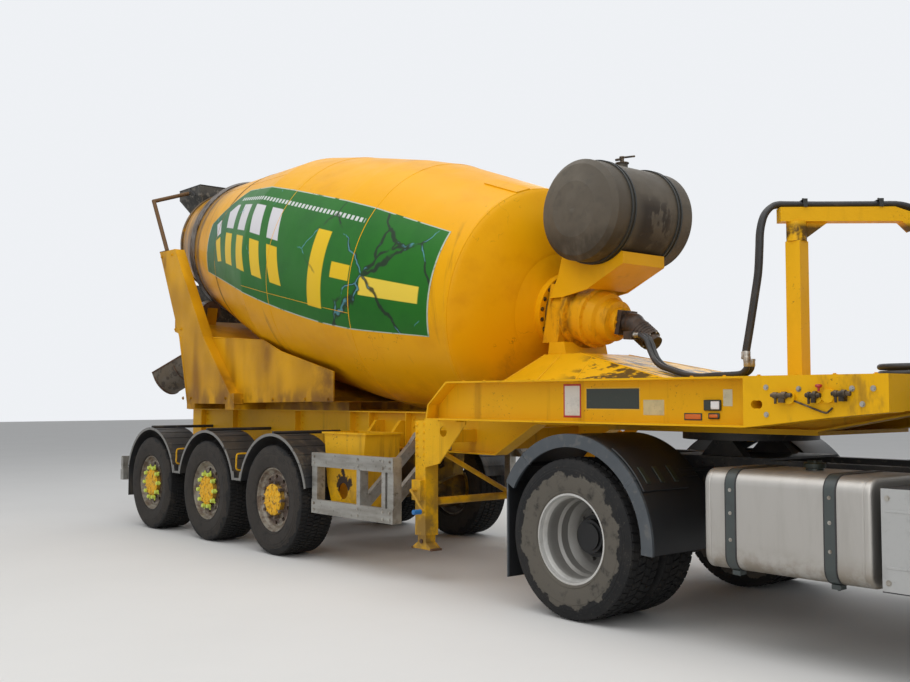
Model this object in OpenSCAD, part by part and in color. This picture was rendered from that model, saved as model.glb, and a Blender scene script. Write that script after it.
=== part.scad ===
// Articulated concrete mixer lorry: a three-axle drum semi-trailer coupled to a two-axle tractor.
// Millimetres. +X points forward, +Y to the vehicle's left and +Z up, with the ground at z = 0.
// Stations along the vehicle are counted from the trailer's first axle, and in_frame() then
// moves everything so that the origin lies under the middle of the whole vehicle.

/* [Trailer frame] */
// Distance between two trailer axles
axle_pitch = 1310; // [1280:10:1340]
// Width over the tyres
track_width = 2550; // [2530:5:2570]
// Depth of the main rails
rail_depth = 340; // [320:5:350]
// Height of the top of the main rails
rail_top = 1330; // [1325:1:1335]
// Distance of each rail's web from the middle
rail_offset = 500; // [490:5:510]
// Width of a rail's flanges
flange_w = 140; // [120:5:150]
// Thickness of the rails' plates
rail_plate = 12; // [8:1:16]
// Height of the coupling plate's underside
coupling_z = 1225; // [1220:1:1235]
// Radius of the kingpin's waist
kingpin_r = 25.4; // [24:0.1:27]

/* [Gooseneck] */
// Width over the gooseneck's side beams
neck_width = 2500; // [2460:10:2520]
// Height of the top of the gooseneck
neck_top = 1575; // [1570:1:1585]
// Height of the side beams' underside
neck_bottom = 1285; // [1280:1:1295]
// Width of the side beams' flanges
beam_w = 160; // [140:5:180]
// Thickness of the side beams' plates
neck_plate = 12; // [8:1:16]

/* [Wheels] */
// Radius of a trailer tyre
trailer_tyre_r = 510; // [505:1:515]
// Width of a trailer tyre
trailer_tyre_w = 385; // [375:1:390]
// Radius of a tractor tyre
tractor_tyre_r = 530; // [525:1:535]
// Width of one tractor tyre
tractor_tyre_w = 312; // [305:1:318]
// Distance between the two tyres of a twin wheel, centre to centre
twin_pitch = 345; // [340:1:350]
// Radius at which tyre and rim meet
rim_r = 290; // [286:1:294]
// Running clearance between a wheel's bore and its axle
wheel_clearance = 0.05; // [0.02:0.01:0.1]
// Radius of the axle ends that carry the wheels
spindle_r = 60; // [50:1:70]
// Radius of a hub
hub_r = 140; // [135:1:145]
// Largest angle of the steered wheels, which sets their arches
steer_max = 40; // [30:1:42]

/* [Drum] */
// Tilt of the drum's axis
drum_tilt = 11.8; // [11.6:0.1:12]
// Thickness of the drum's shell
drum_wall = 8; // [6:0.5:10]
// Height of the drum's front flange
drum_front_z = 2185; // [2180:1:2195]
// Radius of the drum's roller ring
ring_r = 805; // [802:1:812]
// Width of the roller ring
ring_w = 100; // [90:1:110]
// Distance of the ring's middle from the drum's front flange
ring_station = 5210; // [5200:1:5220]
// Radius of a support roller
roller_r = 125; // [120:1:130]
// Angle of the support rollers from straight below the drum's axis
roller_angle = 32; // [30:0.5:34]
// Gap between a roller and the ring, as between any two pieces that just rest on each other
seat_gap = 0.3; // [0.2:0.1:0.5]

/* [Water tank] */
// Radius of the water tank
tank_r = 390; // [380:5:395]
// Length of the tank's straight shell
tank_len = 880; // [860:10:900]
// Height of the tank's middle
tank_z = 2885; // [2875:5:2900]

/* [Chute] */
// Inner radius of the discharge chute
chute_r = 230; // [220:5:240]
// Length of the discharge chute
chute_len = 1150; // [1140:5:1160]
// Thickness of the sheet that the chute and the hoppers are made of
sheet = 6; // [4:1:8]
// Slope of the chute at rest
chute_pitch = 25; // [24:0.5:26]
// Angle by which the chute is parked towards the vehicle's right
chute_yaw = 25; // [24:0.5:26]

/* [Hose boom] */
// Width of the square hose post
post_w = 100; // [90:2:110]
// Height of the top of the hose post
post_top = 2430; // [2420:5:2440]
// Width of the boom's square tube
boom_w = 90; // [80:2:100]
// Angle by which the boom is parked towards the vehicle's left
boom_yaw = 48; // [45:1:50]
// Radius of a hydraulic hose
hose_r = 20; // [18:1:24]

/* [Tractor] */
// Distance between the tractor's axles
wheelbase = 3600; // [3590:5:3620]
// Width over the tractor's frame rails
frame_w = 760; // [750:5:770]
// Height of the top of the tractor's frame rails
frame_top = 1050; // [1045:1:1055]
// Depth of the tractor's frame rails
frame_depth = 260; // [250:5:270]
// Width over the fuel tank and the panels
body_w = 2480; // [2470:2:2490]

/* [Cab] */
// Width of the cab
cab_w = 2440; // [2420:5:2450]
// Height of the cab's roof
cab_top = 2900; // [2880:10:2920]
// Height of the cab's floor panel over the wheels
cab_floor = 1190; // [1186:1:1196]
// Thickness of the cab's panels and doors
cab_wall = 50; // [45:1:55]
// Gap round a door
door_gap = 6; // [5:0.5:8]
// Thickness of the window glass
glass_t = 6; // [5:0.5:8]
// Radius of a door hinge's barrel
barrel_r = 10; // [9:0.5:12]

/* [Hidden] */
$fn = 64;

// Stations along the vehicle
drive_x = 3762;
front_x = drive_x + wheelbase;
kingpin_x = drive_x + 540;
nose_x = front_x + 1370;
cab_back_x = nose_x - 2280;
neck_rear_x = 2250;
neck_front_x = 5940;
drum_front_x = 2490;
leg_x = 1960;
frame_rear_x = -2 * axle_pitch - 500;
turret_x = frame_rear_x - 140;
tank_x = 3120;
post_x = 4960;
post_y = -450;
chute_reach_x = -4240.8;
centre_x = (nose_x + chute_reach_x) / 2;

// Heights and widths that several pieces share
rail_bottom = rail_top - rail_depth;
rail_web_face = rail_offset + rail_plate / 2;
frame_bottom = frame_top - frame_depth;
neck_y = neck_width / 2;
trailer_wheel_y = (track_width - trailer_tyre_w) / 2;
drive_wheel_y = (track_width - tractor_tyre_w - twin_pitch) / 2;
front_wheel_y = (track_width - 80 - tractor_tyre_w) / 2;
king_y = front_wheel_y - 190;
king_r = 25;
hinge_x = nose_x - 223;
hinge_z = [1380, 1690];
hinge_h = 60;
hinge_pin_r = 5;

module in_frame() {
    translate([-centre_x, 0, 0]) children();
}

// A block given by its two opposite corners
module block(low, high) {
    translate(low) cube(high - low);
}

// The same thing on the right and on the left
module both_sides() {
    children();
    mirror([0, 1, 0]) children();
}

// A plate with an outline in X and Z, from y0 to y1
module plate_y(y0, y1, outline) {
    translate([0, y1, 0]) rotate([90, 0, 0]) linear_extrude(y1 - y0) polygon(outline);
}

// A plate with an outline in Y and Z, from x0 to x1
module plate_x(x0, x1, outline) {
    translate([x0, 0, 0]) rotate([90, 0, 90]) linear_extrude(x1 - x0) polygon(outline);
}

// A plate with an outline in X and Y, from z0 to z1
module plate_z(z0, z1, outline) {
    translate([0, 0, z0]) linear_extrude(z1 - z0) polygon(outline);
}

// A round bar along Y
module bar_y(x, z, y0, y1, r) {
    translate([x, y1, z]) rotate([90, 0, 0]) cylinder(h = y1 - y0, r = r);
}

// A round bar from one point to another
module strut(from, to, r) {
    run = to - from;
    length = norm(run);
    translate(from) rotate([0, acos(run[2] / length), atan2(run[1], run[0])])
        cylinder(h = length, r = r);
}

// A beam of I section: a flanged outline in X and Z with both sides of its web cut back
module i_beam(outline, inner, y, width, web) {
    difference() {
        plate_y(y - width / 2, y + width / 2, outline);
        plate_y(y - width / 2 - 1, y - web / 2, inner);
        plate_y(y + web / 2, y + width / 2 + 1, inner);
    }
}

// A sheet curved round an axle, between two angles from +X
module arc_sheet(r, thickness, from, to, y0, y1) {
    far = 4 * r;
    rotate([90, 0, 0]) translate([0, 0, -y1]) linear_extrude(y1 - y0) intersection() {
        difference() {
            circle(r = r + thickness, $fn = 96);
            circle(r = r, $fn = 96);
        }
        polygon([
            [0, 0], far * [cos(from), sin(from)], [far, far], [-far, far],
            far * [cos(to), sin(to)]
        ]);
    }
}

// Places its children on the drum's axis: local +Z runs rearwards along it from the front
// flange, local +X points up and local +Y to the left
module on_drum_axis() {
    translate([drum_front_x, 0, drum_front_z]) rotate([0, drum_tilt - 90, 0]) children();
}

// Turns a wheel's profile, drawn with its axis along +Z, onto an axle that points outwards
module on_axle(x, y, z, side) {
    translate([x, side * y, z]) rotate([-90 * side, 0, 0]) children();
}

// A tyre's section: tread, round shoulders, side walls and the bore that sits on the rim
module tyre(r, w) {
    rotate_extrude($fn = 96) polygon([
        [rim_r, -w / 2 + 47], [rim_r + 12.5, -w / 2 + 41], [rim_r + 12.5, -w / 2 + 14],
        [rim_r + 60, -w / 2 + 4],
        [(rim_r + r) / 2, -w / 2], [r - 56, -w / 2 + 6], [r - 12, -w / 2 + 18],
        [r, -w / 2 + 35], [r, w / 2 - 35], [r - 12, w / 2 - 18], [r - 56, w / 2 - 6],
        [(rim_r + r) / 2, w / 2], [rim_r + 60, w / 2 - 4], [rim_r + 12.5, w / 2 - 14],
        [rim_r + 12.5, w / 2 - 41], [rim_r, w / 2 - 47]
    ]);
}

// Ten wheel nuts in a ring
module wheel_nuts(z, pitch_r) {
    for (i = [0:9]) rotate([0, 0, i * 36]) translate([pitch_r, 0, z])
        cylinder(h = 32, r = 14, $fn = 6);
}

// Trailer rim: a disc that bulges outwards, with hand holes, nuts and a ribbed hub cap
module trailer_rim() {
    half = trailer_tyre_w / 2;
    bore_r = spindle_r + wheel_clearance;
    difference() {
        union() {
            rotate_extrude($fn = 96) polygon([
                [rim_r - 12, 42 - half], [rim_r, 42 - half], [rim_r, half - 46],
                [rim_r + 12, half - 40], [rim_r + 12, half - 28], [rim_r - 4, half - 28],
                [rim_r - 14, half - 60], [rim_r - 32, half - 80], [rim_r - 50, half - 68],
                [190, half - 64], [hub_r + 6, half - 64], [hub_r + 6, half - 24],
                [hub_r - 20, half - 12], [0, half - 12], [0, half - 42], [bore_r, half - 42],
                [bore_r, 70 - half], [hub_r, 70 - half], [hub_r, half - 76],
                [rim_r - 54, half - 80], [rim_r - 28, half - 100], [rim_r - 12, half - 132]
            ]);
            wheel_nuts(half - 66, 167);
            for (i = [0:9]) rotate([0, 0, i * 36 + 18]) translate([40, -5, half - 22])
                cube([hub_r - 42, 10, 14]);
        }
        for (i = [0:9]) rotate([0, 0, i * 36 + 18]) translate([212, 0, half - 120])
            cylinder(h = 100, r = 20, $fn = 24);
    }
}

// Outer half of a twin rim: a deep dish whose disc lies in the middle between the tyres
module twin_rim() {
    outer = (twin_pitch + tractor_tyre_w) / 2;
    rotate_extrude($fn = 96) polygon([
        [rim_r - 16, 44], [rim_r, 44], [rim_r, outer - 42], [rim_r + 12, outer - 34],
        [rim_r + 12, outer - 24], [rim_r - 6, outer - 22], [rim_r - 12, outer - 50],
        [rim_r - 26, outer - 80], [rim_r - 28, 150], [rim_r - 44, 130], [rim_r - 46, 70],
        [200, 14], [100, 14], [100, -1], [215, -1], [rim_r - 30, 56]
    ]);
}

module trailer_frame() in_frame() color("gold") {
    both_sides() {
        // Main beam: low at the axles, stepped up to the coupling
        i_beam([
            [frame_rear_x, rail_bottom], [2300, rail_bottom], [2760, coupling_z + 23],
            [5150, coupling_z + 23], [5850, neck_bottom + 95], [5850, neck_top - 8],
            [2380, neck_top - 8], [2000, rail_top], [frame_rear_x, rail_top]
        ], [
            [frame_rear_x - 1, rail_bottom + rail_plate], [2295, rail_bottom + rail_plate],
            [2756, coupling_z + 35], [5149, coupling_z + 35], [5851, neck_bottom + 107],
            [5851, neck_top - 8 - rail_plate], [2384, neck_top - 8 - rail_plate],
            [2004, rail_top - rail_plate], [frame_rear_x - 1, rail_top - rail_plate]
        ], rail_offset, flange_w, rail_plate);
        // Stiffening ribs on the outer side of the beam
        for (x = [-2800, -2040, -730, 250, 560, 1120, 1480])
            block([x, rail_web_face - 1, rail_bottom + 1], [x + 12, rail_offset + 68, rail_top - 1]);
        // Outriggers to the landing legs
        block([leg_x - 50, rail_web_face - 1, 1090], [leg_x + 50, 935, 1190]);
    }
    // Cross members between the beams
    for (x = [frame_rear_x, -2040, -730, 620, 1450, 2150])
        block([x, 1 - rail_offset, 1030], [x + 80, rail_offset - 1, 1200]);
    for (x = [2900, 3700, 4800, 5600])
        block([x, 1 - rail_offset, 1390], [x + 70, rail_offset - 1, 1540]);
    // Coupling plate and kingpin
    block([3500, -570, coupling_z], [5150, 570, coupling_z + 25]);
    translate([kingpin_x, 0, coupling_z - 76]) cylinder(h = 80, r = kingpin_r);
    // Towing jaw at the rear
    difference() {
        block([frame_rear_x - 90, -70, 1090], [frame_rear_x + 1, 70, 1150]);
        translate([frame_rear_x - 48, 0, 1080]) cylinder(h = 80, r = 20);
    }
}

module neck() in_frame() color("gold") {
    inner_y = neck_y - beam_w;
    both_sides() {
        difference() {
            plate_y(inner_y, neck_y, [
                [neck_rear_x, neck_bottom], [5090, neck_bottom], [5630, neck_bottom + 65],
                [neck_front_x, neck_bottom + 95], [neck_front_x, neck_top], [2490, neck_top],
                [neck_rear_x + 25, neck_bottom + 115]
            ]);
            // Recess outside, as far as the boxed front end, and a long one inside
            plate_y(neck_y - 110, neck_y + 1, [
                [neck_rear_x + 16, neck_bottom + neck_plate], [5090, neck_bottom + neck_plate],
                [5090, neck_top - neck_plate], [2498, neck_top - neck_plate],
                [neck_rear_x + 38, neck_bottom + 112]
            ]);
            plate_y(inner_y - 1, neck_y - 110 - neck_plate, [
                [neck_rear_x + 16, neck_bottom + neck_plate], [5090, neck_bottom + neck_plate],
                [5630, neck_bottom + 78], [5800, neck_bottom + 96], [5800, neck_top - neck_plate],
                [2498, neck_top - neck_plate], [neck_rear_x + 38, neck_bottom + 112]
            ]);
            // Oval service hole in the boxed end
            for (x = [5165, 5190]) bar_y(x, 1415, neck_y - 111, neck_y + 1, 24);
        }
        // Gussets down to the deck's outriggers
        for (x = [2520, 3300, 4150, 5000]) plate_x(x, x + 12, [
            [572, neck_top - 4], [572, neck_top - 130], [neck_y - 121, neck_bottom + 13],
            [neck_y - 121, neck_top - 4]
        ]);
    }
    // Deck plate and front cross member
    block([2360, 1 - inner_y, neck_top - 8], [neck_front_x, inner_y - 1, neck_top]);
    beam_in = rail_offset - flange_w / 2 - seat_gap;
    beam_out = rail_offset + flange_w / 2 + seat_gap;
    for (y = [[-inner_y - 1, -beam_out], [-beam_in, beam_in], [beam_out, inner_y + 1]])
        block([2400, y[0], neck_top - 60], [2412, y[1], neck_top - 7]);
    both_sides() block([2490, inner_y - 2, neck_top - 8], [neck_front_x, inner_y + 2, neck_top]);
    block([neck_front_x - 60, -inner_y - 1, neck_bottom + 100],
        [neck_front_x, inner_y + 1, neck_top - 7]);
    // Air couplings and valves on the right side of the boxed end: station, height and radius
    for (v = [[5330, 1455, 30], [5390, 1452, 34], [5560, 1450, 26], [5620, 1462, 36]])
        bar_y(v[0], v[1], -neck_y - 24, 1 - neck_y, v[2]);
}

module trailer_axles() in_frame() color("gold") {
    for (i = [0:2]) {
        x = -i * axle_pitch;
        bar_y(x, trailer_tyre_r, -880, 880, 73);
        both_sides() {
            bar_y(x, trailer_tyre_r, 879, trailer_wheel_y + 145, spindle_r);
            bar_y(x, trailer_tyre_r, 800, 950, 205);
            // Trailing arm, its hanger, and the air bellows behind the axle
            plate_y(rail_offset - 45, rail_offset + 45, [
                [x + 590, 700], [x + 590, 770], [x + 500, 790], [x + 60, 600], [x - 360, 640],
                [x - 360, 590], [x - 60, 520], [x + 60, 500]
            ]);
            plate_y(rail_offset - 65, rail_offset + 65, [
                [x + 450, rail_bottom], [x + 480, 690], [x + 600, 690], [x + 640, rail_bottom]
            ]);
            translate([x - 250, rail_offset, 620]) cylinder(h = rail_bottom - 620, r = 130);
        }
    }
}

module trailer_mudguards() in_frame() color("dimgray") {
    inner_r = trailer_tyre_r + 85;
    y0 = 890;
    y1 = track_width / 2;
    both_sides() {
        for (i = [0:2]) {
            translate([-i * axle_pitch, 0, trailer_tyre_r])
                arc_sheet(inner_r, 10, 14, 166, y0, y1 - 6);
            // Rolled edge on the outside and the stay from the main beam
            translate([-i * axle_pitch, 0, trailer_tyre_r])
                arc_sheet(inner_r - 8, 26, 13.5, 166.5, y1 - 12, y1);
            bar_y(-i * axle_pitch, trailer_tyre_r + inner_r + 22, rail_web_face, y1 - 20, 16);
        }
        // Filler between two guards, and the flap behind the last one
        for (i = [0:1]) translate([-(i + 0.5) * axle_pitch, 0, 0]) plate_y(y0 + 20, y1 - 4, [
            [-78, 650], [78, 650], [102, 735], [60, 735], [46, 672], [-46, 672], [-60, 735],
            [-102, 735]
        ]);
        x = -2 * axle_pitch - inner_r;
        block([x + 4, y0 + 10, 330], [x + 14, y1 - 10, 690]);
    }
}

module side_guards() in_frame() color("silver") {
    both_sides() {
        for (z = [440, 850]) difference() {
            block([610, 1180, z], [1800, 1220, z + 120]);
            block([609, 1179, z + 6], [1801, 1212, z + 114]);
        }
        for (x = [610, 1720]) block([x, 1130, 440], [x + 80, 1213, 970]);
        for (x = [1290, 1640]) plate_x(x, x + 50, [
            [rail_web_face, 1150], [rail_web_face, 1010], [600, 1010], [1130, 520],
            [1130, 450], [1213, 450], [1213, 960], [1130, 960], [1130, 640], [680, 1050],
            [600, 1150]
        ]);
    }
}

module landing_gear() in_frame() color("gold") {
    both_sides() {
        block([leg_x - 65, 935, 360], [leg_x + 65, 1065, 1270]);
        block([leg_x - 50, 950, 274], [leg_x + 50, 1050, 361]);
        plate_y(950, 1050, [
            [leg_x - 110, 250], [leg_x + 110, 250], [leg_x + 110, 266], [leg_x + 60, 300],
            [leg_x - 60, 300], [leg_x - 110, 266]
        ]);
        // Gusset with a round hole that ties the leg to the neck's side beam
        difference() {
            plate_y(1059, 1071, [
                [leg_x + 60, 1284.7], [2510, 1284.7], [2510, 1250], [leg_x + 240, 940],
                [leg_x + 60, 900]
            ]);
            bar_y(2250, 1190, 1050, 1080, 42);
        }
        block([2280, 1050, 1270], [2500, 1150, 1284.7]);
        strut([leg_x, 40, 620], [leg_x, 940, 1060], 20);
    }
    bar_y(leg_x, 620, -936, 936, 30);
    // Crank on the right leg
    block([leg_x - 55, -1110, 640], [leg_x + 55, -1064, 800]);
    bar_y(leg_x, 720, -1165, -1109, 14);
    strut([leg_x, -1158, 720], [leg_x + 150, -1158, 560], 11);
    bar_y(leg_x + 145, 566, -1240, -1150, 18);
}

module storage_bin() in_frame() color("gold") {
    difference() {
        plate_y(-1080, -700, [
            [740, 480], [1060, 480], [1180, 700], [1230, 1150], [600, 1150], [650, 700]
        ]);
        plate_y(-1070, -710, [
            [746, 490], [1054, 490], [1170, 702], [1220, 1151], [610, 1151], [660, 702]
        ]);
        bar_y(900, 640, -1100, -1060, 70);
    }
    // Rim of the bin and its bracket on the main beam
    difference() {
        block([580, -1095, 1135], [1250, -685, 1150]);
        block([611, -1069, 1134], [1219, -711, 1151]);
    }
    for (x = [700, 1060]) plate_x(x, x + 40, [
        [-rail_web_face, 1250], [-600, 1250], [-701, 1130], [-701, 1020], [-rail_web_face, 1020]
    ]);
}

module rear_bumper() in_frame() color("silver") {
    bar_x = frame_rear_x - 520;
    block([bar_x, -1180, 480], [bar_x + 80, 1180, 600]);
    both_sides() {
        plate_y(rail_offset - 40, rail_offset + 40, [
            [frame_rear_x + 100, rail_bottom], [frame_rear_x, rail_bottom], [bar_x + 40, 598],
            [bar_x + 79, 482], [bar_x + 200, 482]
        ]);
        block([bar_x + 20, 780, 590], [bar_x + 68, 1180, 760]);
        for (y = [800, 930, 1060]) block([bar_x - 10, y, 640], [bar_x + 21, y + 110, 745]);
    }
    // Plate holder with two screw holes
    difference() {
        block([bar_x + 30, -280, 599], [bar_x + 40, 280, 740]);
        for (y = [-200, 200]) translate([bar_x + 20, y, 680]) rotate([0, 90, 0])
            cylinder(h = 30, r = 3.5, $fn = 24);
    }
}

module front_pedestal() in_frame() color("gold") {
    base = neck_top;
    top = 1800;
    intersection() {
        plate_y(-640, 640, [[2440, base], [4100, base], [2980, top], [2600, top]]);
        plate_x(2400, 4150, [[-620, base], [620, base], [290, top], [-290, top]]);
    }
    // Saddle that carries the gearbox
    difference() {
        plate_y(-250, 250, [[2590, top - 2], [2790, top - 2], [2765, 1900], [2605, 1900]]);
        on_drum_axis() translate([0, 0, -400]) cylinder(h = 150.6, r = 266);
    }
}

module gearbox() in_frame() color("gold") {
    on_drum_axis() rotate([180, 0, 0]) rotate_extrude() polygon([
        [0, 60.3], [235, 60.3], [235, 250], [265, 250], [265, 285], [228, 300],
        [228, 420], [245, 420], [245, 450], [222, 460], [205, 540], [175, 560], [160, 640],
        [115, 650], [115, 700], [0, 700]
    ]);
    // Bearing housing: a square block down to the saddle
    difference() {
        on_drum_axis() translate([-330, -235, -245]) cube([545, 470, 165]);
        block([2300, -400, 1500], [3000, 400, 1900]);
        for (s = [-1, 1]) on_drum_axis() translate([30, s * 235 - 40, -215]) cube([120, 80, 105]);
    }
}

module drive_motor() in_frame() color("dimgray") {
    // Square flange on the gearbox, then the bent body that points down and forwards
    on_drum_axis() translate([-95, -95, -740]) cube([190, 190, 39.7]);
    on_drum_axis() translate([0, 0, -800]) cylinder(h = 65, r = 84);
    translate([3273, 0, 2021]) sphere(r = 90);
    strut([3273, 0, 2021], [3440, 0, 1890], 84);
    strut([3435, 0, 1894], [3480, 0, 1859], 66);
    // Port blocks for the hoses
    block([3340, -205, 1895], [3420, -40, 1955]);
    block([3340, 40, 1895], [3420, 110, 1955]);
}

module tank_cradle() in_frame() color("gold") {
    difference() {
        union() {
            both_sides() plate_y(235, 247, [
                [2610, 2258], [2750, 2258], [3010, tank_z - 585], [3380, tank_z - 415],
                [3380, tank_z - 325], [3160, tank_z - 265], [2860, tank_z - 165],
                [2790, tank_z - 165], [2700, tank_z - 465]
            ]);
            block([3368, -247, tank_z - 415], [3380, 247, tank_z - 325]);
            plate_y(-240, 240, [
                [3004, tank_z - 578], [3010, tank_z - 578], [3380, tank_z - 417], [3376, tank_z - 407]
            ]);
        }
        bar_y(tank_x, tank_z, -300, 300, tank_r + seat_gap);
    }
}

module water_tank() in_frame() color("dimgray") {
    half = tank_len / 2;
    translate([tank_x, 0, tank_z]) rotate([90, 0, 0]) rotate_extrude($fn = 96) polygon([
        [0, -half - 90], [tank_r * 0.55, -half - 75], [tank_r * 0.9, -half - 35], [tank_r, -half],
        [tank_r, half], [tank_r * 0.9, half + 35], [tank_r * 0.55, half + 75], [0, half + 90]
    ]);
    // Two clamping bands and the filler neck
    for (y = [-275, 275]) difference() {
        bar_y(tank_x, tank_z, y - 24, y + 24, tank_r + 7);
        bar_y(tank_x, tank_z, y - 25, y + 25, tank_r - 4);
    }
    translate([tank_x, 60, tank_z + tank_r - 8]) cylinder(h = 58, r = 45);
}

// Local position of a support roller's centre, seen along the drum's axis
roller_reach = ring_r + roller_r + seat_gap;
roller_drop = -roller_reach * cos(roller_angle);
roller_side = roller_reach * sin(roller_angle);

module rear_pedestal() in_frame() color("gold") {
    both_sides() {
        // Base beams, and the leaning column with its foot
        block([frame_rear_x, 430, rail_top], [250, 570, 1420]);
        plate_y(830, 950, [
            [-3150, 3180], [-2750, 3180], [-2020, 2130], [-1300, 1390], [-2390, 1390],
            [-2610, 2150]
        ]);
        // Curved side sheet under the drum
        plate_y(834, 846, [
            [-2100, 2125], [-1980, 2110], [-900, 2040], [-550, 1910], [390, 1690], [390, 1421],
            [-1350, 1400]
        ]);
        // Roller bearings: two plates and a pin on the bridge
        on_drum_axis() {
            for (s = [-90, 66]) translate([roller_drop - 240, roller_side - 60, ring_station + s])
                cube([290, 120, 24]);
            translate([roller_drop, roller_side, ring_station - 80]) cylinder(h = 160, r = 30);
        }
    }
    // Feet across the frame
    for (x = [-2390, -1500]) block([x, -950, rail_top], [x + 190, 950, 1500]);
    // Bridge under the rollers, between the columns
    plate_y(-840, 840, [
        [-2950, 2230], [-2560, 2130], [-2380, 2130], [-2380, 2230], [-2560, 2290], [-2950, 2370]
    ]);
    // Folded catch sheet below the drum
    plate_y(-836, 836, [
        [380, 1421], [180, 1421], [-486, 1580], [-1168, 1738], [-1819, 2035], [-2380, 2230],
        [-2380, 2222], [-1816, 2026], [-1165, 1729], [-484, 1571], [180, 1412], [380, 1412]
    ]);
    // Bearing bracket of the chute's turret
    difference() {
        union() {
            block([turret_x - 110, -110, 1340], [turret_x + 110, 110, 1400]);
            block([turret_x + 60, -480, 1340], [frame_rear_x + 40, 480, 1400]);
        }
        translate([turret_x, 0, 1300]) cylinder(h = 200, r = 45.05);
    }
}

module roller(side) {
    on_drum_axis() translate([roller_drop, side * roller_side, ring_station - 50])
        difference() {
            cylinder(h = 100, r = roller_r);
            translate([0, 0, -1]) cylinder(h = 102, r = 30 + wheel_clearance);
        }
}
module roller_left() in_frame() color("dimgray") roller(1);
module roller_right() in_frame() color("dimgray") roller(-1);

// Loading hopper with its spout into the drum, and the collecting hopper under the drum's mouth
module hopper() in_frame() color("gray") {
    difference() {
        intersection() {
            plate_y(-421, 421, [
                [-3750, 4080], [-3190, 4080], [-3190, 3950], [-3280, 3620], [-3050, 3450],
                [-3070, 3340], [-3440, 3480], [-3750, 3950]
            ]);
            plate_x(-3800, -3000, [
                [-420, 4080], [420, 4080], [420, 3950], [220, 3600], [220, 3300], [-220, 3300],
                [-220, 3600], [-420, 3950]
            ]);
        }
        intersection() {
            plate_y(-414, 414, [
                [-3744, 4081], [-3196, 4081], [-3196, 3950], [-3288, 3616], [-3049, 3440],
                [-3069, 3350], [-3436, 3488], [-3744, 3952]
            ]);
            plate_x(-3800, -3000, [
                [-414, 4081], [414, 4081], [414, 3951], [214, 3601], [214, 3290], [-214, 3290],
                [-214, 3601], [-414, 3951]
            ]);
        }
    }
    difference() {
        intersection() {
            plate_y(-431, 431, [[-3820, 2900], [-3330, 2690], [-3190, 2330], [-3400, 2330]]);
            plate_x(-3850, -3150, [[-430, 2900], [430, 2900], [430, 2690], [190, 2330],
                [-190, 2330], [-430, 2690]]);
        }
        intersection() {
            plate_y(-431, 431, [[-3815, 2911], [-3333, 2704], [-3196, 2329], [-3396, 2329]]);
            plate_x(-3850, -3150, [[-424, 2911], [424, 2911], [424, 2691], [184, 2329],
                [-184, 2329], [-424, 2691]]);
        }
    }
    both_sides() {
        // Stays from the columns
        block([-3200, 850, 3180], [-3030, 930, 3196]);
        strut([-3080, 890, 3196], [-3480, 890, 3860], 24);
        strut([-3480, 890, 3850], [-3480, 417, 4010], 24);
        block([-2860, 812, 2670], [-2760, 830, 2750]);
        strut([-2800, 807, 2710], [-3450, 428, 2640], 26);
        strut([-3175, 880, 3186], [-3450, 426, 2700], 20);
    }
}

// Outer radius of the drum at stations along its axis: [station, radius]
drum_profile = [
    [0, 300], [60, 460], [140, 720], [220, 880], [300, 985], [1450, 1150], [1900, 1170],
    [2900, 1165], [3400, 1145], [5260, 770], [5900, 600]
];
module drum() in_frame() color("goldenrod") on_drum_axis() {
    last = len(drum_profile) - 1;
    rotate_extrude($fn = 128) polygon(concat(
        [[0, -60], [300, -60]], [for (p = drum_profile) [p[1], p[0]]],
        [for (i = [last:-1:1]) [drum_profile[i][1] - drum_wall, drum_profile[i][0]]], [[0, 40]]
    ));
    // Roller ring, and the rim of the mouth
    difference() {
        translate([0, 0, ring_station - ring_w / 2]) cylinder(h = ring_w, r = ring_r, $fn = 128);
        translate([0, 0, ring_station - ring_w]) cylinder(h = 2 * ring_w, r = ring_r - 36, $fn = 128);
    }
    difference() {
        translate([0, 0, 5860]) cylinder(h = 40, r = 622, $fn = 128);
        translate([0, 0, 5850]) cylinder(h = 60, r = 594, $fn = 128);
    }
}

// Places its children on the chute's swing axis, turned to its parked direction
module on_turret() {
    translate([turret_x, 0, 0]) rotate([0, 0, 180 + chute_yaw]) children();
}

pin_z = 1840;
module chute_turret() in_frame() color("dimgray") on_turret() {
    translate([0, 0, 1330]) cylinder(h = 440, r = 45);
    translate([0, 0, 1400 + seat_gap]) cylinder(h = 60, r = 80);
    translate([0, 0, 1765]) cylinder(h = 16, r = 85);
    both_sides() plate_y(28, 48, [[-45, 1770], [45, 1770], [30, pin_z + 28], [-30, pin_z + 28]]);
    bar_y(0, pin_z, -48, 48, 14);
}

module chute() in_frame() color("gray") on_turret() {
    difference() {
        union() {
            translate([0, 0, 2150]) rotate([0, 90 + chute_pitch, 0]) translate([0, 0, -110])
                linear_extrude(chute_len) difference() {
                    union() {
                        circle(r = chute_r + sheet);
                        translate([-70, -chute_r - sheet]) square([70, 2 * chute_r + 2 * sheet]);
                    }
                    circle(r = chute_r);
                    translate([-400, -chute_r]) square([400, 2 * chute_r]);
                    translate([-470, -400]) square([400, 800]);
                }
            plate_y(-20, 20, [[-40, 1815], [-15, 1800], [15, 1800], [40, 1815], [40, 1873], [-40, 1910]]);
        }
        bar_y(0, pin_z, -60, 60, 14 + wheel_clearance);
    }
}

module hose_post() in_frame() color("gold") {
    h = post_w / 2;
    block([post_x - 70, post_y - 70, neck_top], [post_x + 70, post_y + 70, neck_top + 12]);
    block([post_x - h, post_y - h, neck_top + 10], [post_x + h, post_y + h, post_top]);
    translate([post_x, post_y, post_top - 1]) cylinder(h = 121, r = 30);
}

module on_boom() {
    translate([post_x, post_y, 0]) rotate([0, 0, boom_yaw]) children();
}

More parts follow.
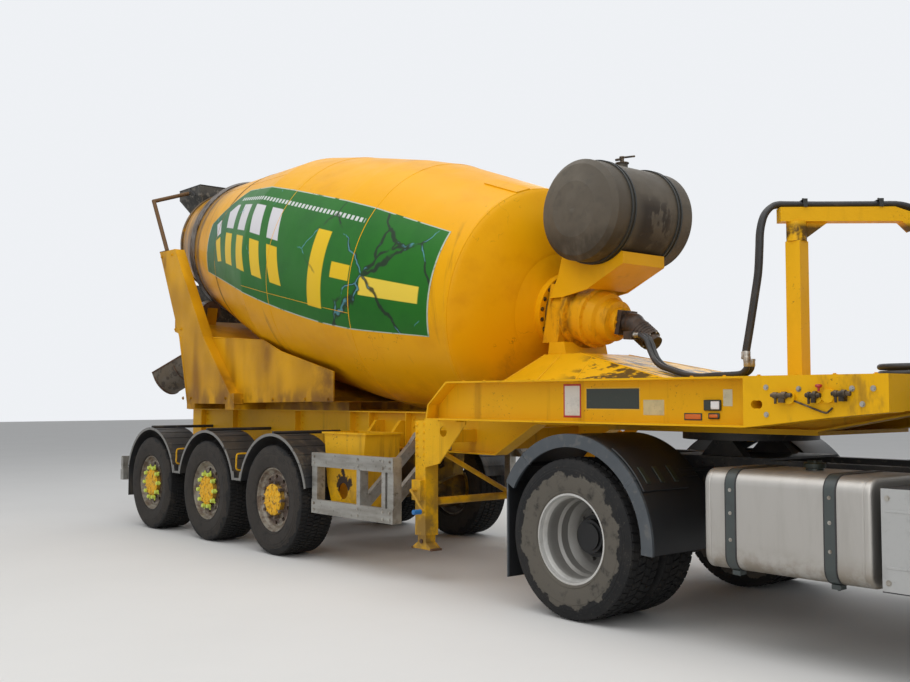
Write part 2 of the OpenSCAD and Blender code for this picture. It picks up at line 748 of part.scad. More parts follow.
boom_z = post_top + 120;
module hose_boom() in_frame() color("gold") on_boom() {
    h = boom_w / 2;
    difference() {
        translate([0, 0, post_top + seat_gap]) cylinder(h = 122, r = 62);
        translate([0, 0, post_top - 1]) cylinder(h = 200, r = 30 + wheel_clearance);
    }
    block([-110, -h, boom_z + 1], [600, h, boom_z + 1 + boom_w]);
    plate_y(-h, h, [
        [599, boom_z + 1], [599, boom_z + 1 + boom_w], [690, boom_z + 60], [760, boom_z - 20],
        [700, boom_z - 60], [640, boom_z]
    ]);
    // Gusset between collar and boom
    plate_y(-8, 8, [[58, post_top + 20], [200, boom_z + 4], [58, boom_z + 4]]);
}

// A tube swept along a route: rings of points square to the route, with flat ends
function unit(v) = v / norm(v);
function route_dir(route, i) = unit(route[min(i + 1, len(route) - 1)] - route[max(i - 1, 0)]);
function ring_at(route, i, r, sides, axis) = let (
    d = route_dir(route, i),
    u = unit(cross(axis, d)),
    v = cross(d, u)
) [for (k = [0:sides - 1]) route[i] + r * (cos(k * 360 / sides) * u + sin(k * 360 / sides) * v)];
module hose(route, r, axis = [0, 1, 0], sides = 8) {
    n = len(route);
    points = [for (i = [0:n - 1]) each ring_at(route, i, r, sides, axis)];
    walls = [for (i = [0:n - 2], k = [0:sides - 1])
        [i * sides + k, (i + 1) * sides + k, (i + 1) * sides + (k + 1) % sides,
            i * sides + (k + 1) % sides]];
    first = [for (k = [0:sides - 1]) k];
    last = [for (k = [sides - 1:-1:0]) (n - 1) * sides + k];
    polyhedron(points, concat([first], walls, [last]));
}

// Hose routes by hand, in round millimetres: from the motor over the deck and up to the boom
motor_route = [
    [3420.3, -175, 1925], [3470, -175, 1925], [3540, -182, 1880], [3590, -200, 1800],
    [3650, -225, 1730], [3740, -260, 1680],
    [3860, -310, 1652], [4040, -380, 1614], [4220, -450, 1600], [4400, -520, 1602],
    [4540, -565, 1602], [4630, -583, 1608], [4672, -589, 1635], [4680, -590, 1665],
    [4680, -590, 1700]
];
boom_route = [
    [4680, -590, 1700], [4680, -590, 1740], [4715, -593, 1900], [4755, -600, 2080],
    [4790, -608, 2240], [4805, -613, 2390], [4812, -612, 2500], [4828, -595, 2594],
    [4856, -565, 2648], [4884, -534, 2666], [4925, -489, 2666], [5050, -350, 2664], [5180, -205, 2664],
    [5300, -72, 2664], [5390, 28, 2662], [5455, 100, 2632], [5505, 155, 2570],
    [5540, 190, 2480], [5570, 205, 2340], [5590, 210, 2180], [5600, 205, 2020],
    [5592, 195, 1880], [5568, 183, 1780], [5560, 180, 1740], [5560, 180, 1700]
];
tractor_route = [
    [5560, 180, 1700], [5560, 180, 1670], [5535, 180, 1625], [5470, 176, 1602], [5360, 160, 1600],
    [5290, 110, 1600], [5262, 40, 1600], [5275, -40, 1600], [5330, -105, 1600],
    [5410, -140, 1600], [5520, -148, 1602], [5760, -140, 1620], [6000, -115, 1640],
    [6200, -90, 1640], [6399.7, -90, 1640]
];
second_hose = 50;
tractor_shift = [
    [-37.15, 33.45, 0], [-37.15, 33.45, 0], [-38, 30, 22], [-26, 22, 44], [-20, 20, 44], [-10, 10, 44],
    [0, 0, 44],
    [0, 0, 44], [0, 6, 44], [0, 14, 44], [0, 26, 42], [0, 48, 26], [0, 60, 6], [0, 60, 0],
    [0, 60, 0]
];
// Coiled air lines as plain tubes of their outer size, from the neck's front to the plugs
// of the line carrier behind the cab
coil_route = [
    [5940.3, -700, 1440], [5985, -700, 1440], [6045, -665, 1410], [6110, -605, 1374],
    [6190, -530, 1368], [6250, -450, 1382], [6295, -375, 1415], [6315, -320, 1460],
    [6320, -290, 1510], [6320, -285, 1550], [6320, -285, 1580]
];
coil_pitch = 110;

module trailer_hoses() in_frame() color("black") {
    for (shift = [0, second_hose]) hose([for (p = motor_route) p + [0, shift, 0]], hose_r);
    for (shift = [0, coil_pitch])
        hose([for (p = coil_route) p + [0, shift, 0]], 34);
}
module boom_hoses() in_frame() color("black") {
    hose(boom_route, hose_r, [0.743, -0.669, 0]);
    hose([for (p = boom_route) p + [-0.743 * second_hose, 0.669 * second_hose, 0]], hose_r,
        [0.743, -0.669, 0]);
}
module tractor_hoses() in_frame() color("black") {
    last = len(tractor_route) - 1;
    hose(tractor_route, hose_r, [1, 0, -1]);
    // The second one starts behind the first, lies on it in the loop and ends to its left
    hose([for (i = [0:last]) tractor_route[i] + tractor_shift[i]], hose_r, [1, 0, -1]);
}

module place_trailer_wheel(i, side) {
    in_frame() on_axle(-(i - 1) * axle_pitch, trailer_wheel_y, trailer_tyre_r, side) children();
}
module trailer_tyre_part(i, side) color("dimgray")
    place_trailer_wheel(i, side) tyre(trailer_tyre_r, trailer_tyre_w);
module trailer_rim_part(i, side) color("gold") place_trailer_wheel(i, side) trailer_rim();

module place_drive_wheel(side) {
    in_frame() on_axle(drive_x, drive_wheel_y, tractor_tyre_r, side) children();
}
module drive_tyres(side) color("dimgray") place_drive_wheel(side) {
    for (k = [-1, 1]) translate([0, 0, k * twin_pitch / 2]) tyre(tractor_tyre_r, tractor_tyre_w);
}
module drive_rims(side) color("silver") place_drive_wheel(side) {
    twin_rim();
    mirror([0, 0, 1]) twin_rim();
    wheel_nuts(10, 168);
    difference() {
        union() {
            translate([0, 0, -60]) cylinder(h = 120, r = hub_r);
            translate([0, 0, 59]) cylinder(h = 60, r = 112);
            translate([0, 0, 118]) cylinder(h = 14, r = 90);
        }
        translate([0, 0, -61]) cylinder(h = 101, r = spindle_r + wheel_clearance);
    }
}

module place_front_wheel(side) {
    in_frame() on_axle(front_x, front_wheel_y, tractor_tyre_r, side) children();
}
module front_tyre(side) color("dimgray")
    place_front_wheel(side) tyre(tractor_tyre_r, tractor_tyre_w);
module front_rim(side) color("silver") place_front_wheel(side) {
    half = tractor_tyre_w / 2;
    bore_r = spindle_r + wheel_clearance;
    rotate_extrude($fn = 96) polygon([
        [rim_r - 12, 35 - half], [rim_r, 35 - half], [rim_r, half - 40],
        [rim_r + 12, half - 32], [rim_r + 12, half - 20], [rim_r - 6, half - 18],
        [rim_r - 16, half - 60], [rim_r - 46, half - 76], [rim_r - 60, half - 50],
        [175, half - 22], [118, half - 22], [118, half + 12], [90, half + 26], [0, half + 26],
        [0, half - 6], [bore_r, half - 6], [bore_r, 60 - half], [130, 60 - half],
        [130, half - 36], [168, half - 36], [215, half - 58], [rim_r - 60, half - 90],
        [rim_r - 12, half - 100]
    ]);
    wheel_nuts(half - 26, 148);
}

// Steering knuckle: a fork on the king pin and the spindle of the wheel
module knuckle(side) in_frame() color("dimgray") {
    translate([front_x, side * king_y, tractor_tyre_r]) scale([1, side, 1]) {
        difference() {
            union() {
                for (z = [-140, 80]) {
                    translate([0, 0, z]) cylinder(h = 60, r = 60);
                    block([-60, 0, z], [60, 62, z + 60]);
                }
                block([-70, 60, -140], [70, 84, 140]);
            }
            translate([0, 0, -200]) cylinder(h = 400, r = king_r + wheel_clearance);
        }
        bar_y(0, 0, 83, front_wheel_y - king_y + tractor_tyre_w / 2 - 8, spindle_r);
    }
}
module knuckle_left() knuckle(1);
module knuckle_right() knuckle(-1);

module tractor_frame() in_frame() color("dimgray") {
    rear_x = drive_x - 560;
    rail_end_x = nose_x - 400;
    web_y = frame_w / 2;
    both_sides() {
        difference() {
            block([rear_x, web_y - 80, frame_bottom], [rail_end_x, web_y, frame_top]);
            block([rear_x - 1, web_y - 81, frame_bottom + 8], [rail_end_x + 1, web_y - 8, frame_top - 8]);
        }
        // Brackets and pins of the cab's tilting hinge
        plate_y(web_y - 3, web_y + 18, [
            [rail_end_x - 120, frame_bottom + 10], [rail_end_x - 120, frame_top - 10],
            [rail_end_x + 20, 1000], [nose_x - 86, 832], [nose_x - 34, 820], [nose_x - 34, 774],
            [nose_x - 60, 762], [rail_end_x + 40, frame_bottom - 30]
        ]);
        bar_y(nose_x - 60, 800, web_y, web_y + 70, 15);
        // Carrier of the front cross beam
        plate_y(web_y - 40, web_y - 2, [
            [rail_end_x - 60, frame_bottom + 60], [rail_end_x - 60, frame_bottom],
            [nose_x - 140, 560], [nose_x - 61, 560], [nose_x - 61, 700], [nose_x - 140, 720],
            [rail_end_x - 20, frame_bottom + 60]
        ]);
        // Rear supports of the cab
        block([cab_back_x + 60, web_y - 60, frame_top - 2],
            [cab_back_x + 160, web_y + 60, cab_floor - seat_gap]);
    }
    for (x = [rear_x, drive_x + 500, drive_x + 1800, rail_end_x - 80])
        block([x, 7 - web_y, frame_bottom + 20], [x + 60, web_y - 7, frame_top - 50]);
    difference() {
        block([nose_x - 140, -900, 560], [nose_x - 60, 900, 700]);
        translate([nose_x - 100, 0, 500]) cylinder(h = 300, r = 20);
    }
    // Line carrier behind the cab
    both_sides() block([6400, 300, frame_top - 2], [6412, 345, 1690]);
    block([6400, -345, 1580], [6412, 345, 1690]);
    block([6400, -345, 1460], [6412, 345, 1540]);
    block([6290, -325, 1580 + seat_gap], [6401, -135, 1615]);
}

module fifth_wheel() in_frame() color("dimgray") {
    top = coupling_z - seat_gap;
    difference() {
        translate([kingpin_x, 0, top - 55]) cylinder(h = 55, r = 460);
        translate([kingpin_x, 0, top - 100]) cylinder(h = 200, r = kingpin_r + wheel_clearance);
        plate_z(top - 100, top + 10, [
            [kingpin_x, -kingpin_r], [kingpin_x, kingpin_r], [kingpin_x - 120, 40],
            [kingpin_x - 500, 240], [kingpin_x - 500, -240], [kingpin_x - 120, -40]
        ]);
    }
    block([kingpin_x - 420, -frame_w / 2 - 40, frame_top],
        [kingpin_x + 420, frame_w / 2 + 40, frame_top + 14]);
    both_sides() plate_y(250, 330, [
        [kingpin_x - 170, frame_top + 12], [kingpin_x + 170, frame_top + 12],
        [kingpin_x + 70, top - 54], [kingpin_x - 70, top - 54]
    ]);
}

module tractor_axles() in_frame() color("dimgray") {
    z = tractor_tyre_r;
    web_y = frame_w / 2;
    // Drive axle with its brakes, air springs and links
    bar_y(drive_x, z, -620, 620, 90);
    translate([drive_x, 0, z]) sphere(r = 205);
    both_sides() {
        bar_y(drive_x, z, 619, drive_wheel_y + 35, spindle_r);
        bar_y(drive_x, z, 619, drive_wheel_y - 68, 205);
        block([drive_x - 370, 430, 560], [drive_x + 640, 500, 622]);
        block([drive_x + 560, web_y, 560], [drive_x + 640, 500, 900]);
        translate([drive_x - 260, 470, 620]) cylinder(h = 162, r = 110);
        block([drive_x - 380, web_y, 780], [drive_x - 140, 570, 800]);
    }
    // Front axle with its eyes, king pins and springs
    block([front_x - 50, -king_y + 20, z - 50], [front_x + 50, king_y - 20, z + 30]);
    both_sides() {
        translate([front_x, king_y, z - 50]) cylinder(h = 80, r = 52);
        translate([front_x, king_y, z - 150]) cylinder(h = 300, r = king_r);
        plate_y(310, 378, [
            [front_x - 620, frame_bottom], [front_x - 620, 650], [front_x - 60, 560],
            [front_x + 60, 560], [front_x + 600, 650], [front_x + 600, frame_bottom],
            [front_x + 540, frame_bottom], [front_x + 540, 690], [front_x + 60, 610],
            [front_x - 60, 610], [front_x - 560, 690], [front_x - 560, frame_bottom]
        ]);
    }
}

module drive_mudguards() in_frame() color("gray") {
    inner_r = tractor_tyre_r + 147;
    y0 = 610;
    y1 = 1265;
    both_sides() {
        translate([drive_x, 0, tractor_tyre_r]) {
            arc_sheet(inner_r, 8, -3, 150, y0, y1 - 10);
            arc_sheet(inner_r - 77, 87, -3.3, 150.3, y1 - 20, y1);
            for (angle = [42, 138])
                bar_y(675 * cos(angle), 675 * sin(angle), frame_w / 2, y1 - 30, 14);
        }
        block([drive_x - 598, y0 + 20, 210], [drive_x - 586, y1 - 10, 880]);
    }
}

module fuel_tank() in_frame() color("silver") {
    plate_x(4810, 5830, [
        [-1240, 560], [-1240, 970], [-1215, 1020], [-1165, 1045], [-720, 1045], [-665, 1020],
        [-640, 970], [-640, 560], [-665, 500], [-720, 475], [-1165, 475], [-1215, 505]
    ]);
    // Straps and the brackets to the frame
    for (x = [4960, 5570]) {
        plate_x(x, x + 60, [
            [-1244, 556], [-1244, 974], [-1218, 1025], [-1168, 1051], [-700, 1051],
            [-frame_w / 2, 1010], [-frame_w / 2, 860], [-640, 560], [-668, 495], [-720, 469],
            [-1168, 469], [-1219, 500]
        ]);
    }
    translate([5320, -820, 1040]) cylinder(h = 45, r = 50);
}

module side_boxes() in_frame() color("dimgray") {
    // Battery and air-tank box on the left, step boxes on both sides behind the front wheels
    block([4810, 640, 520], [5830, body_w / 2, 1000]);
    both_sides() block([5880, 640, 480], [6380, body_w / 2, 1000]);
    for (x = [4960, 5570]) block([x, frame_w / 2, 850], [x + 60, 641, 950]);
    both_sides() for (x = [5940, 6240]) block([x, frame_w / 2, 850], [x + 60, 641, 950]);
}

module engine() in_frame() color("gray") {
    block([front_x - 700, -285, 660], [front_x + 600, 285, 1150]);
    both_sides() for (x = [front_x - 560, front_x + 430])
        block([x, 284, 860], [x + 80, frame_w / 2 - 8, 940]);
}

module cab_shell() in_frame() color("white") {
    half = cab_w / 2;
    low_z = 840;
    difference() {
        plate_y(-half, half, [
            [cab_back_x, cab_floor], [7980, cab_floor], [8060, low_z], [nose_x - 20, low_z],
            [nose_x - 20, 1500], [nose_x - 45, 1750], [nose_x - 250, cab_top - 200],
            [nose_x - 420, cab_top], [cab_back_x + 60, cab_top], [cab_back_x, cab_top - 60]
        ]);
        // Cabin
        plate_y(cab_wall - half, half - cab_wall, [
            [cab_back_x + cab_wall, cab_floor + cab_wall], [nose_x - 75, cab_floor + cab_wall],
            [nose_x - 75, 1500], [nose_x - 97, 1745], [nose_x - 300, cab_top - 230],
            [nose_x - 450, cab_top - 60], [cab_back_x + cab_wall, cab_top - 60]
        ]);
        // Open underside in front, over the end of the frame
        plate_y(cab_wall - half, half - cab_wall, [
            [7900, cab_floor - 1], [7900, low_z - 10], [nose_x - 70, low_z - 10], [nose_x - 70, cab_floor]
        ]);
        // Windscreen
        plate_y(150 - half, half - 150, [
            [nose_x - 400, 1800], [nose_x + 100, 1800], [nose_x, cab_top - 260],
            [nose_x - 500, cab_top - 260]
        ]);
        // Door openings
        plate_y(-cab_w, cab_w, [
            [nose_x - 1150, cab_floor + 60], [nose_x - 220, cab_floor + 60],
            [nose_x - 220, 1750], [nose_x - 330, cab_top - 300], [nose_x - 1150, cab_top - 300]
        ]);
        // Grille slots
        for (z = [1000, 1110, 1220, 1330])
            block([nose_x - 40, -760, z], [nose_x, 760, z + 60]);
        // Room for the barrels on the doors
        for (z = hinge_z) both_sides() translate([hinge_x, half, z - 1])
            cylinder(h = hinge_h + 2, r = barrel_r + door_gap);
    }
    both_sides() {
        // Hinge barrels above and below those of the door, and the pin through all three
        for (z = hinge_z) translate([hinge_x, half, z]) {
            translate([0, 0, -25]) cylinder(h = 25 - seat_gap, r = barrel_r);
            translate([0, 0, hinge_h + seat_gap]) cylinder(h = 25, r = barrel_r);
            translate([0, 0, -25]) cylinder(h = hinge_h + 50, r = hinge_pin_r);
        }
        // Lugs of the tilting hinge
        difference() {
            plate_y(frame_w / 2 + 26, frame_w / 2 + 62, [
                [nose_x - 96, 790], [nose_x - 60, 768], [nose_x - 24, 790], [nose_x - 24, 960],
                [nose_x - 68, 960]
            ]);
            bar_y(nose_x - 60, 800, 300, 500, 15 + wheel_clearance);
        }
        // Mirrors
        for (z = [1830, 2200])
            block([nose_x - 212, half - 20, z], [nose_x - 176, half + 42, z + 34]);
        block([nose_x - 212, half + 40, 1790], [nose_x - 110, half + 180, 2270]);
    }
}

module cab_glass() in_frame() color("lightblue") {
    plate_y(150.3 - cab_w / 2, cab_w / 2 - 150.3, [
        [nose_x - 74 - glass_t, 1800.3], [nose_x - 74, 1800.3],
        [nose_x - 255, cab_top - 260.3], [nose_x - 255 - glass_t, cab_top - 260.3]
    ]);
}

module cab_interior() in_frame() color("dimgray") {
    floor_z = cab_floor + cab_wall;
    both_sides() {
        block([nose_x - 1080, 330, floor_z], [nose_x - 640, 840, floor_z + 420]);
        plate_y(350, 820, [
            [nose_x - 1060, floor_z + 410], [nose_x - 920, floor_z + 410],
            [nose_x - 1060, floor_z + 1080], [nose_x - 1150, floor_z + 1080]
        ]);
    }
    // Bunk behind the seats, dashboard, steering column and wheel
    block([cab_back_x + cab_wall, 60 - cab_w / 2, floor_z],
        [cab_back_x + 650, cab_w / 2 - 60, 1700]);
    plate_y(60 - cab_w / 2, cab_w / 2 - 60, [
        [nose_x - 380, floor_z], [nose_x - 100, floor_z], [nose_x - 100, 1690],
        [nose_x - 330, 1690], [nose_x - 430, 1560]
    ]);
    strut([nose_x - 400, 585, 1480], [nose_x - 520, 585, 1760], 30);
    translate([nose_x - 520, 585, 1760]) rotate([0, -23, 0]) {
        rotate_extrude($fn = 48) translate([210, 0]) circle(r = 15, $fn = 16);
        for (i = [0:2]) rotate([0, 0, i * 120]) translate([0, -15, -6]) cube([210, 30, 12]);
    }
}

module front_bumper() in_frame() color("gray") {
    half = cab_w / 2;
    difference() {
        plate_y(-half, half, [
            [8030, 300], [nose_x - 30, 300], [nose_x, 360], [nose_x, 680], [nose_x - 30, 720],
            [nose_x - 300, 720], [nose_x - 300, 825], [8030, 825]
        ]);
        block([8029, 220 - half, 299], [nose_x - 60, half - 220, 826]);
        // Steps and lamp recesses
        for (z = [440, 620]) both_sides()
            block([8080, half - 170, z], [nose_x - 340, half + 1, z + 110]);
        both_sides() block([nose_x - 50, half - 420, 480], [nose_x + 1, half - 90, 640]);
        block([nose_x - 61, -90, 560], [nose_x + 1, 90, 660]);
    }
    both_sides() {
        // Lamps, and the front mudguards with their stays
        block([nose_x - 51, half - 400, 495], [nose_x - 15, half - 110, 625]);
        translate([front_x, 0, tractor_tyre_r]) arc_sheet(642, 8, 12, 165, 905, half - 5);
        block([7994, half - 215, 664], [8040, half - 5, 700]);
        block([front_x - 20, 300, frame_top], [front_x + 20, 380, 1186]);
        bar_y(front_x, 1174, 379, half - 20, 11);
    }
}

module door(side) in_frame() color("white") {
    y1 = cab_w / 2;
    scale([1, side, 1]) {
        difference() {
            plate_y(y1 - cab_wall, y1, [
                [nose_x - 1150 + door_gap, cab_floor + 60 + door_gap],
                [nose_x - 220 - door_gap, cab_floor + 60 + door_gap],
                [nose_x - 220 - door_gap, 1750], [nose_x - 330 - door_gap, cab_top - 300 - door_gap],
                [nose_x - 1150 + door_gap, cab_top - 300 - door_gap]
            ]);
            plate_y(y1 - cab_wall - 1, y1 + 1, [
                [nose_x - 1060, 1850], [nose_x - 330, 1850], [nose_x - 400, cab_top - 380],
                [nose_x - 1060, cab_top - 380]
            ]);
            block([nose_x - 1110, y1 - 22, 1560], [nose_x - 930, y1 + 1, 1620]);
            // Room for the cab's hinge barrels, and the bore for their pin
            for (z = hinge_z) translate([hinge_x, y1, z]) {
                translate([0, 0, -26]) cylinder(h = 26, r = barrel_r + door_gap / 2);
                translate([0, 0, hinge_h]) cylinder(h = 26, r = barrel_r + door_gap / 2);
                cylinder(h = hinge_h, r = hinge_pin_r + wheel_clearance);
            }
        }
        // Hinge barrels on the front edge
        for (z = hinge_z) translate([hinge_x, y1, z]) difference() {
            cylinder(h = hinge_h, r = barrel_r);
            translate([0, 0, -1]) cylinder(h = hinge_h + 2, r = hinge_pin_r + wheel_clearance);
        }
    }
}
module door_left() door(1);
module door_right() door(-1);

trailer_frame();
neck();
trailer_axles();
trailer_mudguards();
side_guards();
landing_gear();
storage_bin();
rear_bumper();
front_pedestal();
gearbox();
drive_motor();
tank_cradle();
water_tank();
rear_pedestal();
roller_left();
roller_right();
hopper();
drum();
chute_turret();
chute();
hose_post();
hose_boom();
trailer_hoses();
boom_hoses();
tractor_hoses();
trailer_tyre_part(1, 1);  // trailer_tyre_1_left
trailer_rim_part(1, 1);  // trailer_rim_1_left
trailer_tyre_part(1, -1);  // trailer_tyre_1_right
trailer_rim_part(1, -1);  // trailer_rim_1_right
trailer_tyre_part(2, 1);  // trailer_tyre_2_left
trailer_rim_part(2, 1);  // trailer_rim_2_left
trailer_tyre_part(2, -1);  // trailer_tyre_2_right
trailer_rim_part(2, -1);  // trailer_rim_2_right
trailer_tyre_part(3, 1);  // trailer_tyre_3_left
trailer_rim_part(3, 1);  // trailer_rim_3_left
trailer_tyre_part(3, -1);  // trailer_tyre_3_right
trailer_rim_part(3, -1);  // trailer_rim_3_right
tractor_frame();
fifth_wheel();
tractor_axles();
knuckle_left();
knuckle_right();
drive_tyres(1);  // drive_tyres_left
drive_rims(1);  // drive_rims_left
drive_tyres(-1);  // drive_tyres_right
drive_rims(-1);  // drive_rims_right
front_tyre(1);  // front_tyre_left
front_rim(1);  // front_rim_left
front_tyre(-1);  // front_tyre_right
front_rim(-1);  // front_rim_right
drive_mudguards();
fuel_tank();
side_boxes();
engine();
front_bumper();
cab_shell();
cab_glass();
cab_interior();
door_left();
door_right();
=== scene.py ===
import math

import bmesh
import bpy
from mathutils import Matrix, Vector


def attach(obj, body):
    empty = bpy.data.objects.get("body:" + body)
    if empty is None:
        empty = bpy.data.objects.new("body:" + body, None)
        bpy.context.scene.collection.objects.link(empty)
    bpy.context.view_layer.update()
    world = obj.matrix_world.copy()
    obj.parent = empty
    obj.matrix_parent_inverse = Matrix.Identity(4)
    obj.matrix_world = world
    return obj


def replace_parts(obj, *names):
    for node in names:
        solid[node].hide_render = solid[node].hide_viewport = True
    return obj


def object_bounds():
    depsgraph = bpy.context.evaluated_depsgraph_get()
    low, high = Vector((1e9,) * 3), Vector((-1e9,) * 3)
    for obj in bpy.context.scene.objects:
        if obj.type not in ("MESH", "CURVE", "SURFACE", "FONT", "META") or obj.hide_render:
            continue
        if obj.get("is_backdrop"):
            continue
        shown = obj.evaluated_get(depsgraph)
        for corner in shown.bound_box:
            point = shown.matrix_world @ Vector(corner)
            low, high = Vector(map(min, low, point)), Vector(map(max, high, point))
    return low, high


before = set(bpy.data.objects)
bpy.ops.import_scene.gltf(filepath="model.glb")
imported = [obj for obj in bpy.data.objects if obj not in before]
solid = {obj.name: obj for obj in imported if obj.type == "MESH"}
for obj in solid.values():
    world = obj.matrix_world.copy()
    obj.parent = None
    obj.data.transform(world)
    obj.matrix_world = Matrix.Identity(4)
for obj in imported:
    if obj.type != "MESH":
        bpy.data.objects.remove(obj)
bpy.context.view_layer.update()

scene = bpy.context.scene

# Camera: a person's eye level off the lorry's right side, a little ahead of the drive wheel, with a
# moderate wide angle. The cab lies outside its right edge.
camera = bpy.data.objects.new("camera", bpy.data.cameras.new("camera"))
scene.collection.objects.link(camera)
camera.data.lens = 41.19
camera.data.sensor_width = 36
camera.data.clip_end = 200
camera.location = (6.2454, -6.292, 1.451)
camera.rotation_euler = (math.radians(93.136), 0, math.radians(49.434))
scene.camera = camera

# Studio: a plain pale floor under an even, overcast light. Two large soft lamps do the work, and the
# world shows white to the camera and to polished faces only.
scene.view_settings.view_transform = "Standard"


class Finish:
    """A node material, with short names for the patterns that are laid over its colour."""

    def __init__(self, name, colour, roughness=0.5, metallic=0.0):
        self.material = bpy.data.materials.new(name)
        self.material.use_nodes = True
        self.tree = self.material.node_tree
        self.shader = self.tree.nodes["Principled BSDF"]
        self.set("Roughness", roughness)
        self.set("Metallic", metallic)
        self.colour = (*colour, 1)
        self.place = self.node("ShaderNodeTexCoord").outputs["Object"]

    def set(self, quality, value):
        self.shader.inputs[quality].default_value = value

    def node(self, kind, feeds=None, **settings):
        """Adds a node; feeds holds what its inputs take, values or sockets of other nodes."""
        made = self.tree.nodes.new(kind)
        for key, value in settings.items():
            setattr(made, key, value)
        for key, value in (feeds or {}).items():
            self.feed(made.inputs[key], value)
        return made

    def feed(self, socket, value):
        if isinstance(value, bpy.types.NodeSocket):
            self.tree.links.new(value, socket)
        else:
            socket.default_value = value

    def noise(self, scale, stretch=(1, 1, 1), detail=4, shift=0.0):
        spread = self.node("ShaderNodeMapping", {
            "Vector": self.place, "Scale": stretch, "Location": (shift, shift * 0.7, -shift)})
        grain = self.node("ShaderNodeTexNoise", {
            "Vector": spread.outputs["Vector"], "Scale": scale, "Detail": detail, "Roughness": 0.62})
        return grain.outputs["Fac"]

    def along(self, axis):
        return self.node("ShaderNodeSeparateXYZ", {0: self.place}).outputs[axis]

    def aside(self):
        """Distance from the lorry's middle plane."""
        return self.calc("ABSOLUTE", self.along(1))

    def calc(self, operation, a, b=0.0):
        return self.node("ShaderNodeMath", {0: a, 1: b}, operation=operation).outputs[0]

    def ramp(self, value, low, high, top=1.0):
        """Rises softly from nothing at low to top at high."""
        step = self.node("ShaderNodeMapRange", {
            "Value": value, "From Min": low, "From Max": high, "To Max": top})
        step.interpolation_type = "SMOOTHSTEP"
        return step.outputs["Result"]

    def spots(self, scale, low, high, top=1.0, shift=0.0, stretch=(1, 1, 1), detail=4):
        """Patches of noise: the ramp says how much of it is covered."""
        return self.ramp(self.noise(scale, stretch, detail, shift), low, high, top)

    def near(self, value, middle, low, high, top=1.0):
        """A ramp over the distance of a value from a middle."""
        return self.ramp(self.calc("ABSOLUTE", self.calc("SUBTRACT", value, middle)), low, high, top)

    def within(self, value, low, high, soft=0.004):
        return self.calc("MULTIPLY", self.ramp(value, low - soft, low + soft),
                         self.ramp(value, high + soft, high - soft))

    def both(self, *factors):
        result = factors[0]
        for factor in factors[1:]:
            result = self.calc("MULTIPLY", result, factor)
        return result

    def blend(self, factor, a, b):
        return self.node("ShaderNodeMix", {0: factor, 6: a, 7: b}, data_type="RGBA").outputs[2]

    def layer(self, colour, *factors):
        """Lays a colour over the finish where every factor is high."""
        if not isinstance(colour, bpy.types.NodeSocket):
            colour = (*colour, 1)
        self.colour = self.blend(self.both(*factors), self.colour, colour)

    def patch(self, colour, *spread, **more):
        """Lays a colour over the finish in one kind of spots."""
        self.layer(colour, self.spots(*spread, **more))

    def relief(self, height, depth):
        bump = self.node("ShaderNodeBump", {"Distance": depth, "Height": height})
        self.feed(self.shader.inputs["Normal"], bump.outputs["Normal"])

    def sheen(self, factor, low, high):
        step = self.node("ShaderNodeMapRange", {"Value": factor, "To Min": low, "To Max": high})
        self.feed(self.shader.inputs["Roughness"], step.outputs["Result"])

    def done(self):
        self.feed(self.shader.inputs["Base Color"], self.colour)
        return self.material


def quad(name, corners, finish):
    mesh = bpy.data.meshes.new(name)
    mesh.from_pydata(corners, [], [(0, 1, 2, 3)])
    mesh.materials.append(finish)
    made = bpy.data.objects.new(name, mesh)
    scene.collection.objects.link(made)
    return made


f = Finish("pale_floor", (0.72, 0.71, 0.69), 0.85)
f.patch((0.66, 0.65, 0.63), 0.6, 0.35, 0.7, 0.25)
floor = quad("floor", [(-60, -60, 0), (60, -60, 0), (60, 60, 0), (-60, 60, 0)], f.done())
floor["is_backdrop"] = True

world = bpy.data.worlds.new("studio")
world.use_nodes = True
scene.world = world
sky = world.node_tree
ambient = sky.nodes["Background"]
ambient.inputs["Color"].default_value = (0.93, 0.96, 1, 1)
ambient.inputs["Strength"].default_value = 0.43
white = sky.nodes.new("ShaderNodeBackground")
white.inputs["Color"].default_value = (0.86, 0.88, 0.91, 1)
white.inputs["Strength"].default_value = 1.0
ray = sky.nodes.new("ShaderNodeLightPath")
seen = ray.outputs["Is Camera Ray"]
for kind in ("Is Transmission Ray", "Is Glossy Ray"):
    either = sky.nodes.new("ShaderNodeMath")
    either.operation = "MAXIMUM"
    sky.links.new(seen, either.inputs[0])
    sky.links.new(ray.outputs[kind], either.inputs[1])
    seen = either.outputs[0]
choice = sky.nodes.new("ShaderNodeMixShader")
for number, socket in enumerate((seen, ambient.outputs[0], white.outputs[0])):
    sky.links.new(socket, choice.inputs[number])
sky.links.new(choice.outputs[0], sky.nodes["World Output"].inputs["Surface"])

for name, place, target, size, power in (
    ("lamp_overhead", (1, -3, 11), (0, 0, 1.5), 14, 1020),
    ("lamp_side", (9, -14, 6), (0, 0, 1.8), 9, 470),
    ("lamp_back", (-6, 13, 7), (0, 0, 2), 9, 420),
):
    lamp = bpy.data.lights.new(name, "AREA")
    lamp.shape = "SQUARE"
    lamp.size = size
    lamp.energy = power
    shade = bpy.data.objects.new(name, lamp)
    shade.location = place
    shade.rotation_euler = (Vector(target) - Vector(place)).to_track_quat("-Z", "Y").to_euler()
    scene.collection.objects.link(shade)

# Hydraulic hoses: two steel-braided rubber hoses from the drum's motor over the deck, along the boom and
# down to the deck again. Each is three pieces, on the trailer, the boom and the tractor. Their ends meet
# at rest and part when the boom or the tractor turns.
def at(x, y, z):
    """Metres in the lorry's frame from a station, an offset and a height in millimetres."""
    return Vector(((x - 2245.6) / 1000, y / 1000, z / 1000))


